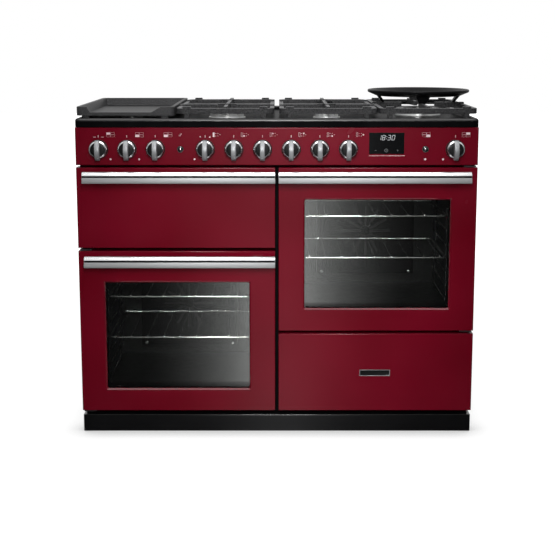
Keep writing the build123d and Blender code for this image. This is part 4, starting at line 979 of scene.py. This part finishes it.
DRAWER_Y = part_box("drawer_front")[0].y
plate_x, plate_z = MIDDLE_X + 273.5 * MM, 172.5 * MM
HALF_WIDE, HALF_HIGH = 42.5 * MM, 9.0 * MM
badge = block("badge", (plate_x - HALF_WIDE, DRAWER_Y - 1.6 * MM, plate_z - HALF_HIGH),
              (plate_x + HALF_WIDE, DRAWER_Y + 0.2 * MM, plate_z + HALF_HIGH))
painted(badge, knob_grip, finishes["knob_black_chrome"])
hold(badge)
bpy.ops.object.mode_set(mode="EDIT")
bpy.ops.mesh.select_mode(type="FACE")
bpy.ops.mesh.select_all(action="DESELECT")
bpy.ops.object.mode_set(mode="OBJECT")
for face in badge.data.polygons:
    face.select = face.normal.y < -0.9
bpy.ops.object.mode_set(mode="EDIT")
bpy.ops.mesh.inset(thickness=1.2 * MM, depth=0.0)
bpy.ops.mesh.inset(thickness=0.4 * MM, depth=-0.7 * MM)
badge.active_material_index = 1
bpy.ops.object.material_slot_assign()
let_go()
badge.name = badge.data.name = "drawer_plate"
eased(badge, 0.35 * MM, 2)
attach(badge, "drawer")


# Wok ring

low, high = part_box("wok_ring")
centre = (low + high) / 2
top = (high.z - low.z) / MM
lip = [(147.0, top - 4.0), (146.8, top - 1.8), (145.6, top - 0.5), (143.6, top), (141.0, top - 0.2),
       (138.6, top - 1.4), (114.0, top - 17.6), (114.6, top - 18.0), (121.4, top - 18.0), (122.6, top - 17.6),
       (141.6, top - 9.6), (144.8, top - 8.4), (146.5, top - 6.6), (147.0, top - 4.0)]
leg_top = top - 13.5
band = turned("band", lip, 128)
leg = plate("leg", [(-22, 0, leg_top), (-10, 0, 0), (10, 0, 0), (22, 0, leg_top)], (0, 9.0, 0))
for vertex in leg.data.vertices:
    vertex.co.y += 97.5 + 16.5 * vertex.co.z / leg_top
eased(leg, 1.6, 3)
legs = [leg] + [copied(leg, "leg", turn=(0, 0, quarter * math.pi / 2)) for quarter in (1, 2, 3)]
ring = joined("wok_ring_dressed", [band] + legs)
ring.scale = (MM, MM, MM)
moved(ring, (centre.x, centre.y, low.z))
painted(smooth(ring, 45), wok_iron)
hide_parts("wok_ring")
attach(ring, "wok_ring")


# Spark igniters beside the burners

WELL_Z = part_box("burner_heads")[0].z + 12.0 * MM
# The burners under each support: how far back from its middle, and their radius
BURNER_ROWS = {"left_centre_pan_support": ((-118.0, 52.0), (118.0, 38.0)),
               "right_centre_pan_support": ((-118.0, 38.0), (118.0, 30.0)),
               "wok_pan_support": ((0.0, 66.0),)}
POST = [(0, -0.2), (4.2, -0.2), (4.2, 1.6), (3.4, 2.0), (2.9, 3.0), (2.7, 9.6), (2.2, 10.2), (0, 10.2)]
TIP = [(0, 10.0), (1.1, 10.0), (1.1, 12.6), (1.7, 13.2), (1.7, 14.2), (1.0, 14.8), (0, 14.8)]
DIAGONAL = 0.7071
places = []
for support, rows in BURNER_ROWS.items():
    low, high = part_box(support)
    for along, radius in rows:
        aside = DIAGONAL * (radius + 6.0) * MM
        places.append(((low.x + high.x) / 2 + aside, (low.y + high.y) / 2 + along * MM + aside, WELL_Z))
post = painted(upright("post", POST), spark_ceramic)
tip = painted(upright("tip", TIP), finishes["tap_alloy"])
igniters = joined("spark_igniters", repeated(joined("igniter", [post, tip]), places))
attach(igniters, "cooker_body")


# Oven shelves

def wire(name, points, radius):
    """A closed line of points made a round wire."""
    drawn(name, points + points[:1])
    bpy.ops.mesh.remove_doubles(threshold=WELD)
    bpy.ops.object.mode_set(mode="OBJECT")
    bpy.ops.object.convert(target="CURVE")
    line = bpy.context.object.data
    line.bevel_depth, line.bevel_resolution = radius, 3
    bpy.ops.object.convert(target="MESH")
    return smooth(bpy.context.object, 60)


def shelf_pattern(reach):
    """A frame of thick wire with thinner wires across it, each ending in a bead over the front rail."""
    half, pitch = 202.5 * MM, 46.0
    loop = rounded_outline(-half, half, 0.0, reach * MM, 10 * MM, 0.0)
    pieces = [wire("frame", [(x, z, 0.0) for x, y, z in loop], 3.0 * MM)]
    outline = [(0, -2.4), (1.8, -2.0), (2.9, -0.8), (3.2, 0.6), (2.9, 2.0), (2.1, 3.2), (2.0, 4.6),
               (2.0, reach - 0.6), (1.5, reach), (0, reach)]
    cross_wire = upright("cross_wire", outline, TO_REAR, 12)
    pieces += repeated(cross_wire, [(pitch * i * MM, 0.0, 3.0 * MM) for i in range(-4, 5)])
    return joined("shelf", pieces)


SHELF_HEIGHTS = (170.8, 289.3)
SHELF_SETBACK = 25.5 * MM
places = []
for oven in ("left_oven_cavity", "right_oven_cavity"):
    low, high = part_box(oven)
    places += [((low.x + high.x) / 2, low.y + SHELF_SETBACK, low.z + height * MM) for height in SHELF_HEIGHTS]
shelves = joined("oven_shelves_dressed", repeated(shelf_pattern(309.0), places))
painted(shelves, finishes["chrome_wire"])
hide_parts("oven_shelves")
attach(shelves, nodes["oven_shelves"]["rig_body"])


# Screws of the casing and the fan covers

def screws(name, slot, height, turn, places):
    """Round heads with a recess for the driver."""
    outline = [(0, -1.0), (2.0, -1.0), (2.0, 0), (4.6, 0), (4.9, 0.15 * height), (4.6, 0.6 * height),
               (3.2, height), (2.1, height), (1.8, 0.4 * height), (0, 0.4 * height)]
    heads = joined(name, repeated(upright("screw", outline, turn, 20), places))
    painted(heads, finishes[slot])
    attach(heads, "cooker_body")


# The rear screws sit in wells, a little below the panel's face
EDGE = 12 * MM
SINK = 0.9
low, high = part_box("rear_panel")
rows = [(x, z) for x in (low.x + EDGE, high.x - EDGE) for z in (0.10, 0.29, 0.48, 0.67)]
rows += [(low.x + share * (high.x - low.x), high.z - EDGE) for share in (0.06, 0.28, 0.5, 0.72, 0.94)]
outline = [(0, -SINK), (5.4, -SINK), (5.6, 0.3), (0, 0.3)]
wells = joined("wells", repeated(upright("well", outline, TO_REAR), [(x, high.y, z) for x, z in rows]))
rear = dressed("rear_panel", finishes[slot_of["rear_panel"]])
smooth(shaped(rear, "BOOLEAN", operation="DIFFERENCE", solver="EXACT", object=wells))
bpy.data.objects.remove(wells)
places = [(x, high.y - SINK * MM, z) for x, z in rows]
screws("rear_screws", "chassis_black", SINK - 0.1, TO_REAR, places)

low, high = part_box("side_panels")
rows = [(high.y - 16 * MM, z) for z in (0.11, 0.46, 0.80)] + [(low.y + 22 * MM, z) for z in (0.11, 0.80)]
screws("left_side_screws", "chassis_black", 2.0, TO_LEFT, [(low.x, y, z) for y, z in rows])
screws("right_side_screws", "chassis_black", 2.0, TO_RIGHT, [(high.x, y, z) for y, z in rows])

cover_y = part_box("fan_covers")[0].y
places = []
for fan in ("left_oven_fan", "right_oven_fan"):
    low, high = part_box(fan)
    x, z = (low.x + high.x) / 2, (low.z + high.z) / 2
    places += [(x + dx * MM, cover_y, z + dz * MM) for dx in (-136, 136) for dz in (-129, 121)]
screws("fan_cover_screws", "chrome_wire", 2.0, TO_FRONT, places)


# Studio

LOOK_DOWN = 0.162
camera = bpy.data.objects.new("camera", bpy.data.cameras.new("camera"))
bpy.context.scene.collection.objects.link(camera)
camera.location = (-0.0047, -3.279, 1.090)
camera.rotation_euler = (math.pi / 2 - LOOK_DOWN, 0, 0)
camera.data.sensor_width = 36.0
camera.data.lens = 72.12
camera.data.shift_y = -0.10
bpy.context.scene.camera = camera
bpy.context.scene.view_settings.view_transform = "Standard"

let_go()
bpy.ops.mesh.primitive_circle_add(vertices=64, radius=14.0, fill_type="NGON", location=(0, 0, 0))
floor = settle(bpy.context.object)
floor.name = "floor"
f = finish_named("floor")
x, y = f.place("X"), f.place("Y")
far = ((x * x + y * y) ** 0.5).ramp(1.0, 2.6)
seen = f.add("LightPath", out="Is Camera Ray").most(f.add("LightPath", out="Is Transmission Ray"))
mirrored = f.add("LightPath", out="Is Glossy Ray")

# What is seen: white, with a soft shadow close to the plinth
nook = f.add("AmbientOcclusion", {"samples": 8}, {"Distance": 0.08}, out="AO")
lift = f.add("Emission", inputs={"Color": WHITE, "Strength": 0.14 + 0.82 * nook + 0.4 * far})
shadow = f.add("BsdfDiffuse", inputs={"Color": (0.12, 0.12, 0.12, 1)})
pale = f.add("BsdfDiffuse", inputs={"Color": (0.80, 0.80, 0.80, 1)})
lit_floor = f.add("MixShader", inputs={0: seen, 1: pale, 2: f.add("AddShader", inputs={0: shadow, 1: lift})})

# What the doors mirror: a bright patch that widens towards the front, and a dim floor behind
spread = (x * x) ** 0.5 / (1.0 + (-0.28 - y).most(0.0) / 3.0)
patch = 1.7 * (1.0 - spread.ramp(0.05, 0.46)) ** 3.4
ahead = (0.0 - y).ramp(-0.1, 0.1)
bright = 0.02 + patch * ahead + 0.3 * (1.0 - ahead)
glossy = f.add("Emission", inputs={"Color": WHITE, "Strength": bright})
whole = f.add("MixShader", inputs={0: mirrored, 1: lit_floor, 2: glossy})
f.add("OutputMaterial", inputs={"Surface": whole})
painted(floor, f.owner)

world = Nodes(bpy.data.worlds.new("studio"))
bpy.context.scene.world = world.owner
direct = world.add("LightPath", out="Is Camera Ray").most(world.add("LightPath", out="Is Transmission Ray"))
shiny = world.add("LightPath", out="Is Glossy Ray")
way = world.add("TexCoord", out="Generated")
side, back, up = (world.add("SeparateXYZ", inputs={0: way}, out=part) for part in ("X", "Y", "Z"))
mirror = 0.03 + 0.85 * up.ramp(0.10, 0.75) + 0.55 * back.ramp(0.3, 0.9)
mirror = mirror + 0.16 * (side * side).ramp(0.3, 1.0)
level = direct + (1.0 - direct) * (shiny * mirror + (1.0 - shiny) * 0.20)
background = world.add("Background", inputs={"Color": WHITE, "Strength": level})
world.add("OutputWorld", inputs={"Surface": background})


def lamp(name, place, aim, size, power, spread=180):
    light = bpy.data.lights.new(name, "AREA")
    light.shape = "RECTANGLE"
    light.size, light.size_y = size
    light.energy = power
    light.spread = math.radians(spread)
    piece = bpy.data.objects.new(name, light)
    bpy.context.scene.collection.objects.link(piece)
    piece.location = place
    piece.rotation_euler = (Vector(aim) - Vector(place)).to_track_quat("-Z", "Y").to_euler()


lamp("front_softbox", (0.0, -2.7, 1.6), (0, -0.28, 0.60), (0.4, 1.2), 6.2, 46)
lamp("top_softbox", (0.0, -0.5, 2.8), (0, -0.1, 0.9), (2.6, 1.6), 40)
